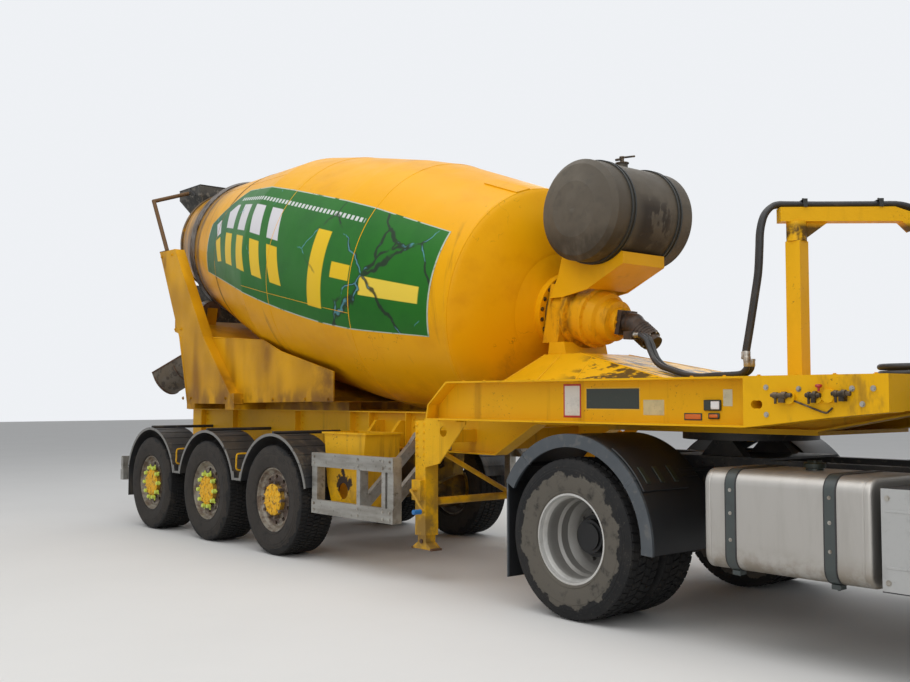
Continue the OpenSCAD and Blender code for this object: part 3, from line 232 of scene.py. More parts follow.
def eased(points, steps=6):
    """The same route with more points, on one smooth line through the given ones."""
    ends = [points[0] * 2 - points[1], *points, points[-1] * 2 - points[-2]]
    line = []
    for a, b, c, d in zip(ends, ends[1:], ends[2:], ends[3:]):
        for k in range(steps):
            t = k / steps
            bend, twist = 2 * a - 5 * b + 4 * c - d, 3 * b - a - 3 * c + d
            line.append(0.5 * (2 * b + (c - a) * t + bend * t * t + twist * t ** 3))
    return [*line, points[-1]]


def hose(name, points, radius, finish, body, **facts):
    line = bpy.data.curves.new(name, "CURVE")
    line.dimensions = "3D"
    line.bevel_depth = radius
    line.bevel_resolution = 3
    line.use_fill_caps = True
    run = line.splines.new("POLY")
    run.points.add(len(points) - 1)
    for knot, point in zip(run.points, points):
        knot.co = (*point, 1)
    line.materials.append(finish)
    made = bpy.data.objects.new(name, line)
    scene.collection.objects.link(made)
    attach(made, body)
    return made


def mottled(name, colour, roughness, metallic, *patches, relief=None):
    """A plain finish with patches of other colours: colour, scale, low, high, top and shift of each."""
    f = Finish(name, colour, roughness, metallic)
    for shade, *spread in patches:
        f.patch(shade, *spread)
    if relief:
        grain, depth = relief
        f.relief(f.noise(grain), depth)
    return f.done()


rubber = mottled("hose_rubber", (0.016, 0.016, 0.017), 0.5, 0, ((0.055, 0.05, 0.043), 7, 0.45, 0.75, 0.6),
    ((0.12, 0.11, 0.095), 60, 0.6, 0.7, 0.3), relief=(160, 0.0006))

hose_radius = 0.020
motor_beside = Vector((0, 0.05, 0))
boom_beside = Vector((-0.743, 0.669, 0)) * 0.05
motor_route = [at(*p) for p in ((3420.3, -175, 1925), (3470, -175, 1925), (3540, -182, 1880),
    (3590, -200, 1800), (3650, -225, 1730), (3740, -260, 1680), (3860, -310, 1652), (4040, -380, 1614),
    (4220, -450, 1600), (4400, -520, 1602), (4540, -565, 1602), (4630, -583, 1608), (4672, -589, 1635),
    (4680, -590, 1665), (4680, -590, 1700))]
boom_route = [at(*p) for p in ((4680, -590, 1700), (4680, -590, 1740), (4715, -593, 1900),
    (4755, -600, 2080), (4790, -608, 2240), (4805, -613, 2390), (4812, -612, 2500), (4828, -595, 2594),
    (4856, -565, 2648), (4884, -534, 2666), (4925, -489, 2666), (5050, -350, 2664), (5180, -205, 2664),
    (5300, -72, 2664), (5390, 28, 2662), (5455, 100, 2632), (5505, 155, 2570), (5540, 190, 2480),
    (5570, 205, 2340), (5590, 210, 2180), (5600, 205, 2020), (5592, 195, 1880), (5568, 183, 1780),
    (5560, 180, 1740), (5560, 180, 1700))]
deck_route = [at(*p) for p in ((5560, 180, 1700), (5560, 180, 1670), (5535, 180, 1625), (5470, 176, 1602),
    (5360, 160, 1600), (5290, 110, 1600), (5262, 40, 1600), (5275, -40, 1600), (5330, -105, 1600),
    (5410, -140, 1600), (5520, -148, 1602), (5760, -140, 1620), (6000, -115, 1640), (6200, -90, 1640),
    (6399.7, -90, 1640))]
deck_shift = [(-37.15, 33.45, 0), (-37.15, 33.45, 0), (-38, 30, 22), (-26, 22, 44), (-20, 20, 44),
    (-10, 10, 44), (0, 0, 44), (0, 0, 44), (0, 6, 44), (0, 14, 44), (0, 26, 42), (0, 48, 26), (0, 60, 6),
    (0, 60, 0), (0, 60, 0)]
for side in (0, 1):
    for stretch, body, route, besides, lay, node in (
        ("motor", "trailer", motor_route, [motor_beside] * len(motor_route), "hanging", "trailer_hoses"),
        ("boom", "hose_boom", boom_route, [boom_beside] * len(boom_route), "hanging", "boom_hoses"),
        ("deck", "tractor", deck_route, [Vector(s) / 1000 for s in deck_shift], "loose", "tractor_hoses"),
    ):
        line = eased([p + beside * side for p, beside in zip(route, besides)])
        made = hose(f"{stretch}_hose_{side}", line, hose_radius, rubber, body, far_end="object",
            stiffness="stiff", lay=lay)
        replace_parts(made, node)

# Air lines: two thin nylon tubes wound into springs, from the gooseneck's front end to the plugs of the
# line carrier behind the cab. They ride on the trailer and keep their shape, so they leave their plugs
# when the tractor turns.
coil_route = [at(*p) for p in ((5940.3, -700, 1440), (5985, -700, 1440), (6045, -665, 1410),
    (6110, -605, 1374), (6190, -530, 1368), (6250, -450, 1382), (6295, -375, 1415), (6315, -320, 1460),
    (6320, -290, 1510), (6320, -285, 1550), (6320, -285, 1580))]
coil_radius, coil_tube, coil_pitch = 0.026, 0.006, 0.0165
coil_gap = Vector((0, 0.11, 0))


def wound(route, radius, pitch, per_turn=12):
    """A spring of tube wound round a route, straight in its first and last few millimetres."""
    line = eased(route, 40)
    total = sum((b - a).length for a, b in zip(line, line[1:]))
    points, gone = [line[0]], 0.0
    side = Vector((0, 0, 1))
    step = pitch / per_turn
    wait = step
    for a, b in zip(line, line[1:]):
        run = (b - a).length
        ahead = (b - a).normalized()
        side = (side - ahead * side.dot(ahead)).normalized()
        across = ahead.cross(side)
        while wait <= run:
            done = gone + wait
            swell = min(1, done / 0.03, (total - done) / 0.03)
            swell = max(0, swell) ** 0.7
            turn = done / pitch * 2 * math.pi
            out = side * math.cos(turn) + across * math.sin(turn)
            points.append(a + ahead * wait + radius * swell * out)
            wait += step
        wait -= run
        gone += run
    return points


coil_colour = mottled("coil_nylon", (0.012, 0.012, 0.013), 0.32, 0,
    ((0.05, 0.047, 0.042), 20, 0.5, 0.75, 0.5))
for side in (0, 1):
    line = wound([p + coil_gap * side for p in coil_route], coil_radius, coil_pitch)
    coil = hose(f"air_coil_{side}", line, coil_tube, coil_colour, "trailer", far_end="object",
        stiffness="medium", lay="coiled")
    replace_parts(coil, "trailer_hoses")

# Crimped sleeves and nuts: plated steel ends on each hydraulic hose, turned to a few steps, which butt on
# the port blocks of the motor, the post and the boom.
def turned(mesh, profile, place, sides=20):
    """Adds a body of revolution; the profile is (radius, height) and place stands its axis up."""
    rings = []
    for radius, height in profile:
        rings.append([mesh.verts.new(place @ Vector((radius * math.cos(a), radius * math.sin(a), height)))
            for a in (2 * math.pi * k / sides for k in range(sides))] if radius > 1e-6
            else [mesh.verts.new(place @ Vector((0, 0, height)))])
    for low_ring, high_ring in zip(rings, rings[1:]):
        for k in range(sides):
            a, b = low_ring[k % len(low_ring)], low_ring[(k + 1) % len(low_ring)]
            c, d = high_ring[(k + 1) % len(high_ring)], high_ring[k % len(high_ring)]
            corners = list(dict.fromkeys((a, b, c, d)))
            if len(corners) > 2:
                mesh.faces.new(corners)


def moved(shift):
    return Matrix.Translation(shift)


def turned_by(degrees, axis):
    return Matrix.Rotation(math.radians(degrees), 4, axis)


def facing(point, ahead, up=(0, 0, 1)):
    """A place at point whose own Z looks ahead."""
    ahead = Vector(ahead).normalized()
    up = Vector(up)
    if abs(ahead.dot(up)) > 0.95:
        up = Vector((1, 0, 0))
    across = up.cross(ahead).normalized()
    return moved(point) @ Matrix((across, ahead.cross(across), ahead)).transposed().to_4x4()


def finished(name, mesh, finish, body, bevel=0.0, sharp=35):
    """Makes one piece of a mesh under construction, with clean outward faces, on its body."""
    bmesh.ops.remove_doubles(mesh, verts=mesh.verts, dist=1e-6)
    bmesh.ops.recalc_face_normals(mesh, faces=mesh.faces)
    data = bpy.data.meshes.new(name)
    mesh.to_mesh(data)
    mesh.free()
    data.materials.append(finish)
    data.polygons.foreach_set("use_smooth", [True] * len(data.polygons))
    data.set_sharp_from_angle(angle=math.radians(sharp))
    made = bpy.data.objects.new(name, data)
    scene.collection.objects.link(made)
    if bevel:
        edge = made.modifiers.new("edges", "BEVEL")
        edge.width = bevel
        edge.segments = 2
        edge.limit_method = "ANGLE"
        edge.angle_limit = math.radians(40)
        edge.harden_normals = False
    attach(made, body)
    return made


plated = mottled("plated_steel", (0.42, 0.4, 0.36), 0.38, 0.85, ((0.12, 0.085, 0.05), 18, 0.42, 0.68, 0.8))
for body, middle, beside in (("trailer", motor_route, motor_beside),
        ("hose_boom", boom_route, boom_beside)):
    sleeves = bmesh.new()
    for side in (0, 1):
        route = [p + beside * side for p in middle]
        for end, inner in ((route[0], route[1]), (route[-1], route[-2])):
            turned(sleeves, [(0.0, 0.0), (0.024, 0.0), (0.024, 0.014), (0.0225, 0.016), (0.0225, 0.045),
                (0.0208, 0.048), (0.0205, 0.05)], facing(end, inner - end), 12)
    finished(f"hose_sleeves_{body}", sleeves, plated, body)

# Trailer frame: two welded I-beams of steel plate with ribs, cross members and the coupling plate, under
# one coat of machine paint that has faded, run with rust and caught road dirt low down.
yellow = (0.80, 0.43, 0.008)


def coat(material, *names):
    for name in names:
        for slot in solid[name].material_slots:
            slot.material = material


def painted(name, colour, wear=0.5, streaks=0.5, gloss=0.38, dirt=0.75):
    """Weathered machine paint: faded patches, rust-brown runs, road dirt low down and small chips."""
    f = Finish(name, colour, gloss)
    f.set("Specular IOR Level", 0.18)
    f.patch(tuple(min(1, c * 1.08 + 0.006) for c in colour), 0.9, 0.42, 0.7, 0.5)
    f.patch(tuple(c * 0.72 for c in colour), 2.4, 0.48, 0.75, 0.35, shift=3)
    run = f.both(f.spots(9, 0.54, 0.74, stretch=(1, 1, 0.07), shift=5),
        f.spots(1.1, 0.42, 0.62, streaks, shift=9))
    f.layer((0.17, 0.065, 0.006), run)
    f.layer((0.1, 0.072, 0.045), f.ramp(f.along(2), 1.25, 0.35), f.spots(5, 0.35, 0.62, dirt, shift=2))
    f.layer((0.06, 0.03, 0.014), f.spots(52, 0.63, 0.67, shift=7), f.spots(2.2, 0.48, 0.62, wear, shift=4))
    return f


def weathered(f, low=0.28, high=0.62, depth=0.0015):
    f.sheen(f.noise(6, shift=1), low, high)
    f.relief(f.noise(14, shift=8), depth)
    return f.done()


frame_paint = weathered(painted("frame_paint", yellow))
coat(frame_paint, "trailer_frame", "landing_gear", "hose_post")


def copier(name, mesh, **numbers):
    """Starts a node tree that sets real, painted copies of a mesh on points; returns what it takes."""
    tree = bpy.data.node_groups.new(name, "GeometryNodeTree")
    sockets = tree.interface
    sockets.new_socket(mesh, in_out="INPUT", socket_type="NodeSocketGeometry")
    for title, value in numbers.items():
        kind = "NodeSocketInt" if isinstance(value, int) else "NodeSocketFloat"
        sockets.new_socket(title, in_out="INPUT", socket_type=kind).default_value = value
    sockets.new_socket("Finish", in_out="INPUT", socket_type="NodeSocketMaterial")
    sockets.new_socket("Copies", in_out="OUTPUT", socket_type="NodeSocketGeometry")
    new, link = tree.nodes.new, tree.links.new
    given, result = new("NodeGroupInput"), new("NodeGroupOutput")
    copies, real, dress = (new("GeometryNode" + kind) for kind in ("InstanceOnPoints", "RealizeInstances",
        "SetMaterial"))
    link(copies.outputs[0], real.inputs[0])
    link(real.outputs[0], dress.inputs["Geometry"])
    link(given.outputs["Finish"], dress.inputs["Material"])
    link(dress.outputs[0], result.inputs[0])
    return tree, new, link, given.outputs, copies.inputs


def bolt_tree():
    """A hexagon bolt with its washer on every point of a mesh, looking along the point's aim."""
    tree, new, link, given, copies = copier("bolts_on_points", "Seats", Radius=0.012, Height=0.01)
    join = new("GeometryNodeJoinGeometry")
    for sides, wider, thick in ((6, 1.0, 1.0), (14, 1.55, 0.3)):
        scale, height, half = (new("ShaderNodeMath") for _ in range(3))
        for step, a, b in ((scale, given["Radius"], wider), (height, given["Height"], thick),
                           (half, height.outputs[0], 0.5)):
            step.operation = "MULTIPLY"
            link(a, step.inputs[0])
            step.inputs[1].default_value = b
        head = new("GeometryNodeMeshCylinder")
        head.inputs["Vertices"].default_value = sides
        link(scale.outputs[0], head.inputs["Radius"])
        link(height.outputs[0], head.inputs["Depth"])
        lift, shift = new("ShaderNodeCombineXYZ"), new("GeometryNodeTransform")
        link(half.outputs[0], lift.inputs[2])
        link(head.outputs["Mesh"], shift.inputs["Geometry"])
        link(lift.outputs[0], shift.inputs["Translation"])
        link(shift.outputs["Geometry"], join.inputs[0])
    aim, turn = new("GeometryNodeInputNamedAttribute"), new("FunctionNodeAlignRotationToVector")
    aim.data_type = "FLOAT_VECTOR"
    aim.inputs["Name"].default_value = "aim"
    turn.axis = "Z"
    link(aim.outputs["Attribute"], turn.inputs["Vector"])
    link(given["Seats"], copies["Points"])
    link(join.outputs[0], copies["Instance"])
    link(turn.outputs["Rotation"], copies["Rotation"])
    return tree


bolt_tree = bolt_tree()


def grown(name, start, tree, body, slot, place=None, **inputs):
    """Runs a node tree on a starting mesh and keeps the plain mesh that it makes."""
    made = bpy.data.objects.new(name, start)
    scene.collection.objects.link(made)
    steps = made.modifiers.new("grow", "NODES")
    steps.node_group = tree
    for socket in tree.interface.items_tree:
        if socket.in_out == "INPUT" and socket.name in inputs:
            steps[socket.identifier] = inputs[socket.name]
    graph = bpy.context.evaluated_depsgraph_get()
    result = bpy.data.meshes.new_from_object(made.evaluated_get(graph), depsgraph=graph)
    made.modifiers.remove(steps)
    made.data = result
    if place is not None:
        result.transform(place)
    result.name = name
    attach(made, body)
    return made


def bolted(name, places, radius, height, finish, body, slot="bare_steel"):
    seats = bpy.data.meshes.new(name)
    seats.from_pydata([p for p, _ in places], [], [])
    aims = seats.attributes.new("aim", "FLOAT_VECTOR", "POINT")
    aims.data.foreach_set("vector", [c for _, a in places for c in a])
    return grown(name, seats, bolt_tree, body, slot, Radius=radius, Height=height, Finish=finish)


def flanked(y, spots):
    """Bolt seats at the given stations and heights on both flanks, looking outwards."""
    return [(at(x, side * y, z), (0, side, 0)) for side in (-1, 1) for x, z in spots]


seats = flanked(506, [(rib + dx, z) for rib in (-2800, -2040, -730, 250, 560, 1120, 1480)
    for z in (1060, 1130, 1200, 1270) for dx in (-40, 52)])
bolted("frame_bolts", seats, 0.011, 0.011, frame_paint, "trailer", "yellow_paint")

# Gooseneck: open channels of folded plate with a boxed front end, seam-welded. Blank label plates are
# riveted to the web, with reflectors, side lamps, air valves and a thin copper air pipe.
f = painted("neck_paint", (0.76, 0.4, 0.004), 0.6, 0.35, dirt=0.35)
f.layer((0.2, 0.1, 0.02), f.ramp(f.along(0), 2.9, 3.4),
    f.spots(8, 0.54, 0.72, 0.55, stretch=(1, 1, 0.45), shift=11))
neck_paint = weathered(f)
coat(neck_paint, "neck")


def block(mesh, low, high, place=Matrix()):
    """Adds a block given by two corners to a mesh under construction."""
    v = [mesh.verts.new(place @ Vector((x, y, z))) for x in (low[0], high[0]) for y in (low[1], high[1])
        for z in (low[2], high[2])]
    for face in ((0, 1, 3, 2), (4, 6, 7, 5), (0, 4, 5, 1), (2, 3, 7, 6), (0, 2, 6, 4), (1, 5, 7, 3)):
        mesh.faces.new([v[i] for i in face])


def rod(mesh, start, end, radius, sides=12):
    """Adds a round bar between two points."""
    start, end = Vector(start), Vector(end)
    length = (end - start).length
    turned(mesh, [(0, 0), (radius, 0), (radius, length), (0, length)], facing(start, end - start), sides)


def wire(mesh, points, radius, sides=8):
    """Adds a round bar along every leg of a line."""
    for a, b in zip(points, points[1:]):
        rod(mesh, a, b, radius, sides)


def circle(count, radius, height=0.0):
    """Points round the Z axis, evenly."""
    return [Vector((radius * math.cos(a), radius * math.sin(a), height))
        for a in (2 * math.pi * k / count for k in range(count))]


def enamel(name, colour, rough=0.4, dirt=0.5):
    f = Finish(name, colour, rough)
    f.patch(tuple(c * 0.45 + 0.012 for c in colour), 9, 0.45, 0.75, dirt)
    f.patch((0.09, 0.07, 0.05), 45, 0.6, 0.7, dirt * 0.6, shift=4)
    f.relief(f.noise(50), 0.0004)
    return f.done()


white_enamel = enamel("white_enamel", (0.66, 0.65, 0.60))
red_enamel = enamel("red_enamel", (0.42, 0.018, 0.014))
dark_enamel = enamel("dark_enamel", (0.022, 0.03, 0.022), 0.35, 0.3)
amber_lens = enamel("amber_lens", (0.62, 0.14, 0.01), 0.18, 0.15)
red_lens = enamel("red_lens", (0.46, 0.008, 0.008), 0.16, 0.15)
clear_lens = enamel("clear_lens", (0.75, 0.76, 0.76), 0.12, 0.15)
labels = {  # station, height, station, height, finish, depth
    "label_edge": (3604, 1320, 3764, 1545, red_enamel, 1.2),
    "label_field": (3616, 1334, 3752, 1533, white_enamel, 1.8),
    "maker_edge": (3806, 1374, 4266, 1520, enamel("yellow_enamel", (0.78, 0.46, 0.02)), 1.2),
    "maker_plate": (3814, 1382, 4258, 1512, dark_enamel, 3.0),
    "pale_plate": (4290, 1345, 4452, 1440, enamel("cream_enamel", (0.60, 0.50, 0.26)), 1.2),
    "lamp_box": (4753, 1376, 4872, 1441, dark_enamel, 16),
    "lamp_glass": (4805, 1384, 4866, 1433, clear_lens, 20),
    "slip_plate": (4883, 1404, 4946, 1502, enamel("grey_slip", (0.55, 0.52, 0.36)), 1.2),
    "reflector_bed": (4604, 1318, 4733, 1361, dark_enamel, 3),
    "reflector": (4612, 1324, 4725, 1355, amber_lens, 7),
    "marker_lamp": (4781, 1327, 4860, 1363, dark_enamel, 12),
    "marker_glass": (4790, 1334, 4851, 1356, amber_lens, 16),
}
for name, (x0, z0, x1, z1, finish, depth) in labels.items():
    plates = bmesh.new()
    for side in (-1, 1):
        block(plates, at(x0, side * 1139.5, z0), at(x1, side * (1140.3 + depth), z1))
    made = finished(name, plates, finish, "trailer")
    rounding = made.modifiers.new("corners", "BEVEL")
    rounding.width = 0.0005 if depth < 3.5 else 0.006
    rounding.segments = 2

brass = mottled("valve_brass", (0.12, 0.085, 0.05), 0.45, 0.6, ((0.026, 0.02, 0.015), 22, 0.36, 0.62, 0.9))
valves = bmesh.new()
for x, z, length, radius in ((5292, 1466, 130, 17), (5500, 1466, 90, 19), (5650, 1474, 110, 18)):
    turned(valves, [(0, 0), (radius / 1600, 0), (radius / 1600, 0.012), (radius / 1000, 0.014),
        (radius / 1000, length * 0.0003), (radius / 1330, length * 0.00033),
        (radius / 1330, length * 0.0005), (radius / 870, length * 0.00052),
        (radius / 870, length * 0.00072), (radius / 1430, length * 0.00075),
        (radius / 1430, length * 0.00095), (0, length / 1000)], facing(at(x, -1286, z), (1, 0, 0)), 16)
    block(valves, at(x + length * 0.35, -1290, z - 40), at(x + length * 0.62, -1250, z - 8))
    rod(valves, at(x + length * 0.2, -1286, z), at(x + length * 0.2, -1286, z - 46), 0.007, 10)
finished("air_valves", valves, brass, "trailer", 0.001)
knob = bmesh.new()
turned(knob, [(0, 0), (0.006, 0), (0.006, 0.018), (0.016, 0.022), (0.019, 0.03), (0.016, 0.037),
    (0, 0.039)], facing(at(5576, -1284, 1486), (0, 0, 1)), 20)
finished("valve_knob", knob, red_enamel, "trailer")
pipe = bmesh.new()
run = eased([at(*p) for p in ((5312, -1262, 1452), (5364, -1262, 1450), (5440, -1262, 1428),
    (5530, -1262, 1396), (5600, -1262, 1374), (5622, -1262, 1384), (5640, -1262, 1400))], 4)
wire(pipe, run, 0.0055)
finished("air_pipe", pipe, brass, "trailer")
clips = flanked(1251, ((5440, 1500), (5745, 1500), (5800, 1420), (5860, 1500), (5240, 1510), (5240, 1360)))
bolted("neck_bolts", clips, 0.010, 0.009, plated, "trailer")
seats = [(at(x, side * 1180, 1575.5), (0, 0, 1)) for side in (-1, 1) for x in range(2620, 5900, 230)]
bolted("deck_bolts", seats, 0.010, 0.008, neck_paint, "trailer", "yellow_paint")

# Trailer axles: round tube axles on cast trailing arms, hung on plate hangers, with rubber air bellows and
# brake drums, all under one coat of yellow and years of road dirt.
axle_pitch = 1310
trailer_hub_z = 510
first_wheel = at(0, 0, trailer_hub_z)


def ring_distance(f, x, z, pitch=None):
    """Distance from a wheel's axle, seen from the side; pitch repeats it along the lorry."""
    dx = f.calc("SUBTRACT", f.along(0), x)
    if pitch:
        dx = f.node("ShaderNodeMath", {0: dx, 1: pitch / 2, 2: -pitch / 2}, operation="WRAP").outputs[0]
    dz = f.calc("SUBTRACT", f.along(2), z)
    return f.calc("SQRT", f.calc("ADD", f.calc("MULTIPLY", dx, dx), f.calc("MULTIPLY", dz, dz)))


f = painted("axle_paint", (0.42, 0.25, 0.02), 0.7, 0.8, 0.5, 1.0)
f.patch((0.06, 0.045, 0.03), 4, 0.42, 0.62, 0.8, shift=6)
coat(weathered(f, 0.5, 0.8), "trailer_axles")

# Trailer wheels: super-single tyres on pressed steel discs with hand holes, ten nuts and a ribbed yellow
# hub cap. The tyre is moulded rubber; its tread blocks are cut into the belt all round.
f = Finish("trailer_disc", (0.3, 0.27, 0.22), 0.55, 0.2)
away = ring_distance(f, first_wheel.x, first_wheel.z, axle_pitch / 1000)
f.patch((0.1, 0.05, 0.028), 11, 0.4, 0.62, 0.75)
f.patch((0.3, 0.24, 0.16), 30, 0.5, 0.66, 0.6, shift=3)
f.layer((0.045, 0.022, 0.016), f.ramp(away, 0.235, 0.215), f.spots(16, 0.3, 0.5, 0.8, shift=5))
cap_colour = f.blend(f.spots(24, 0.5, 0.66, 0.75, shift=8), (0.8, 0.44, 0.01, 1), (0.12, 0.06, 0.02, 1))
f.layer(cap_colour, f.ramp(away, 0.15, 0.142))
f.relief(f.noise(40), 0.001)
coat(f.done(), *[name for name in solid if name.startswith("trailer_rim")])


def tyre_rubber(name, centre, pitch=None, mud=0.5, mud_colour=(0.10, 0.085, 0.068), reach=0.4):
    """Aged rubber: grey bloom on the side walls, a ring of dried mud and darker, worn tread."""
    f = Finish(name, (0.014, 0.014, 0.0145), 0.75)
    away = ring_distance(f, centre.x, centre.z, pitch)
    f.patch((0.032, 0.029, 0.026), 5, 0.4, 0.7, 0.6)
    edge = f.calc("ADD", away, f.calc("MULTIPLY", f.calc("SUBTRACT", f.noise(5.5, shift=4), 0.5), 0.22))
    f.layer(mud_colour, f.ramp(edge, reach + 0.012, reach), f.spots(14, 0.2, 0.5, mud, shift=2))
    f.patch((0.09, 0.08, 0.066), 70, 0.58, 0.7, 0.35, shift=6)
    f.relief(f.noise(90), 0.0008)
    f.set("Specular IOR Level", 0.22)
    return f.done()


def repeat_tree():
    """Copies a mesh round its own Z axis, evenly, and joins the copies."""
    tree, new, link, given, copies = copier("repeat_round_an_axle", "Piece", Count=10)
    points = new("GeometryNodePoints")
    link(given["Count"], points.inputs["Count"])
    share, full, turn = new("ShaderNodeMath"), new("ShaderNodeMath"), new("ShaderNodeCombineXYZ")
    share.operation, full.operation = "DIVIDE", "MULTIPLY"
    link(new("GeometryNodeInputIndex").outputs[0], share.inputs[0])
    link(given["Count"], share.inputs[1])
    link(share.outputs[0], full.inputs[0])
    full.inputs[1].default_value = 2 * math.pi
    link(full.outputs[0], turn.inputs[2])
    link(points.outputs[0], copies["Points"])
    link(given["Piece"], copies["Instance"])
    link(turn.outputs[0], copies["Rotation"])
    return tree


repeat_tree = repeat_tree()


def repeated(name, mesh, count, finish, body, slot, place):
    """Closes the mesh under construction and repeats it round the axis of its place."""
    bmesh.ops.recalc_face_normals(mesh, faces=mesh.faces)
    unit = bpy.data.meshes.new(name)
    mesh.to_mesh(unit)
    mesh.free()
    return grown(name, unit, repeat_tree, body, slot, place, Count=count, Finish=finish)


def axle_place(point, side):
    """A place whose Z axis is a wheel's axle, looking outwards on its side of the lorry."""
    return moved(point) @ turned_by(-90 * side, "X")


def tyre(name, radius, width, places, body, node, finish, blocks, rows, slant):
    """A tyre's casing for each place, with side-wall ribs, and its ring of tread blocks."""
    half, rim, belt = width / 2, 0.290, radius - 0.012
    wall = [(rim, half - 0.045), (rim + 0.008, half - 0.020), (rim + 0.014, half - 0.012),
        (rim + 0.024, half - 0.009), (rim + 0.028, half - 0.012), (rim + 0.06, half - 0.0045),
        (rim + 0.09, half - 0.0015), ((rim + radius) / 2 + 0.01, half - 0.0002),
        ((rim + radius) / 2 + 0.013, half - 0.003), (radius - 0.075, half - 0.003),
        (radius - 0.072, half - 0.006), (radius - 0.056, half - 0.0075), (radius - 0.053, half - 0.010),
        (radius - 0.036, half - 0.013), (belt, half - 0.024)]
    profile = [*wall, *[(r, -z) for r, z in reversed(wall)]]
    casing = bmesh.new()
    for place in places:
        turned(casing, [*profile, profile[0]], place, 96)
    made = finished(name, casing, finish, body, 0, 28)
    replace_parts(made, node)
    for number, place in enumerate(places):
        unit = bmesh.new()
        span = 2 * math.pi * radius / blocks
        for row in range(rows):
            low = -half + 0.020 + row * (width - 0.040) / rows
            high = low + (width - 0.040) / rows - 0.009
            outer = row in (0, rows - 1)
            lean = slant * (1 if row % 2 else -1) * (0.5 if outer else 1)
            shift = 0 if row % 2 else span / 2
            base, top = belt - 0.004, radius - (0.006 if outer else 0.0002)
            back, front = shift - span * 0.5 + 0.0045, shift + span * 0.5 - 0.0045
            corners = []
            for height, shrink in ((base, 0.0), (top, 0.002)):
                for across, tilt in ((low + shrink, -lean), (high - shrink, lean)):
                    for step in (back + shrink, front - shrink):
                        angle = (step + tilt) / radius
                        shoulder = outer and height > base and abs(across) > half * 0.9
                        drop = 0.010 if shoulder else 0
                        corners.append(unit.verts.new(((height - drop) * math.cos(angle),
                            (height - drop) * math.sin(angle), across)))
            for face in ((4, 5, 7, 6), (0, 1, 5, 4), (2, 6, 7, 3), (0, 4, 6, 2), (1, 3, 7, 5)):
                unit.faces.new([corners[i] for i in face])
        bmesh.ops.recalc_face_normals(unit, faces=unit.faces)
        if unit.faces[0].calc_center_median().normalized().dot(unit.faces[0].normal) < 0:
            bmesh.ops.reverse_faces(unit, faces=unit.faces)
        raw = bpy.data.meshes.new(name)
        unit.to_mesh(raw)
        unit.free()
        grown(f"{name}_tread_{number}", raw, repeat_tree, body, "tyre", place, Count=blocks, Finish=finish)


trailer_rubber = tyre_rubber("trailer_rubber", first_wheel, axle_pitch / 1000, 0.35, (0.075, 0.062, 0.05),
    0.47)
nut_steel = enamel("nut_steel", (0.10, 0.07, 0.05), 0.5, 0.8)
nut_pointer = enamel("nut_pointer", (0.62, 0.72, 0.10), 0.35, 0.35)
for number in (1, 2, 3):
    for side, word in ((1, "left"), (-1, "right")):
        body = f"trailer_wheel_{number}_{word}"
        centre = at((1 - number) * axle_pitch, side * 1082.5, trailer_hub_z)
        place = axle_place(centre, side)
        tyre(f"trailer_tyre_piece_{number}_{word}", 0.510, 0.385, [place], body,
            f"trailer_tyre_{number}_{word}", trailer_rubber, 84, 5, 0.004)
        nut = bmesh.new()
        turned(nut, [(0.0225, 0.100), (0.0225, 0.104), (0.0145, 0.105), (0.0145, 0.160), (0.0, 0.160)],
            moved((0.167, 0, 0.0265)), 6)
        repeated(f"wheel_nuts_{number}_{word}", nut, 10, nut_steel, body, "bare_steel", place)
        if number > 1:
            pointer = bmesh.new()
            turned(pointer, [(0, 0.128), (0.024, 0.128), (0.024, 0.134), (0.020, 0.150), (0.0195, 0.166),
                (0, 0.168)], moved((0.167, 0, 0.024)), 14)
            block(pointer, (0.176, -0.007, 0.152), (0.206, 0.007, 0.160))
            repeated(f"nut_pointers_{number}_{word}", pointer, 10, nut_pointer, body, "grey_plastic", place)

# Trailer mudguards: black moulded plastic quarter shells on steel stays, with ribs across and a pale worn
# edge along the outer lip.
f = Finish("guard_shell", (0.021, 0.022, 0.024), 0.48)
f.patch((0.05, 0.045, 0.038), 3, 0.4, 0.7, 0.7)
f.layer((0.1, 0.085, 0.065), f.spots(11, 0.5, 0.68, stretch=(1, 1, 0.15), shift=3),
    f.spots(1.8, 0.4, 0.6, 0.7, shift=5))
outer = f.aside()
rim_line = f.both(f.ramp(outer, 1.2685, 1.2705), f.spots(16, 0.3, 0.42, 0.85, shift=9))
f.layer((0.22, 0.215, 0.2), rim_line)
f.relief(f.noise(26), 0.001)
shell = f.done()
coat(shell, "trailer_mudguards")
ribs = bmesh.new()
for number in range(3):
    middle = at(-number * axle_pitch, 0, trailer_hub_z)
    for side in (-1, 1):
        for angle in range(24, 160, 11):
            a = math.radians(angle)
            ahead = Vector((math.cos(a), 0, math.sin(a)))
            place = moved(middle + ahead * 0.604) @ Matrix.Rotation(math.pi / 2 - a, 4, "Y")
            block(ribs, (-0.010, side * 0.905, -0.002), (0.010, side * 1.255, 0.006), place)
finished("guard_ribs", ribs, shell, "trailer", 0.003)
stays = bmesh.new()
for gap in (0, 1):
    x = -(gap + 0.5) * axle_pitch
    loop = [at(x + dx, y, z) for dx, y, z in ((-14, -1100, 905), (-14, -1240, 905), (-14, -1262, 880),
        (-14, -1264, 820), (-14, -1262, 760), (-14, -1200, 742), (-14, -1100, 742))]
    for mirror in (1, -1):
        wire(stays, eased([Vector((p.x, p.y * mirror, p.z)) for p in loop], 3), 0.009)
finished("guard_stays", stays, frame_paint, "trailer")

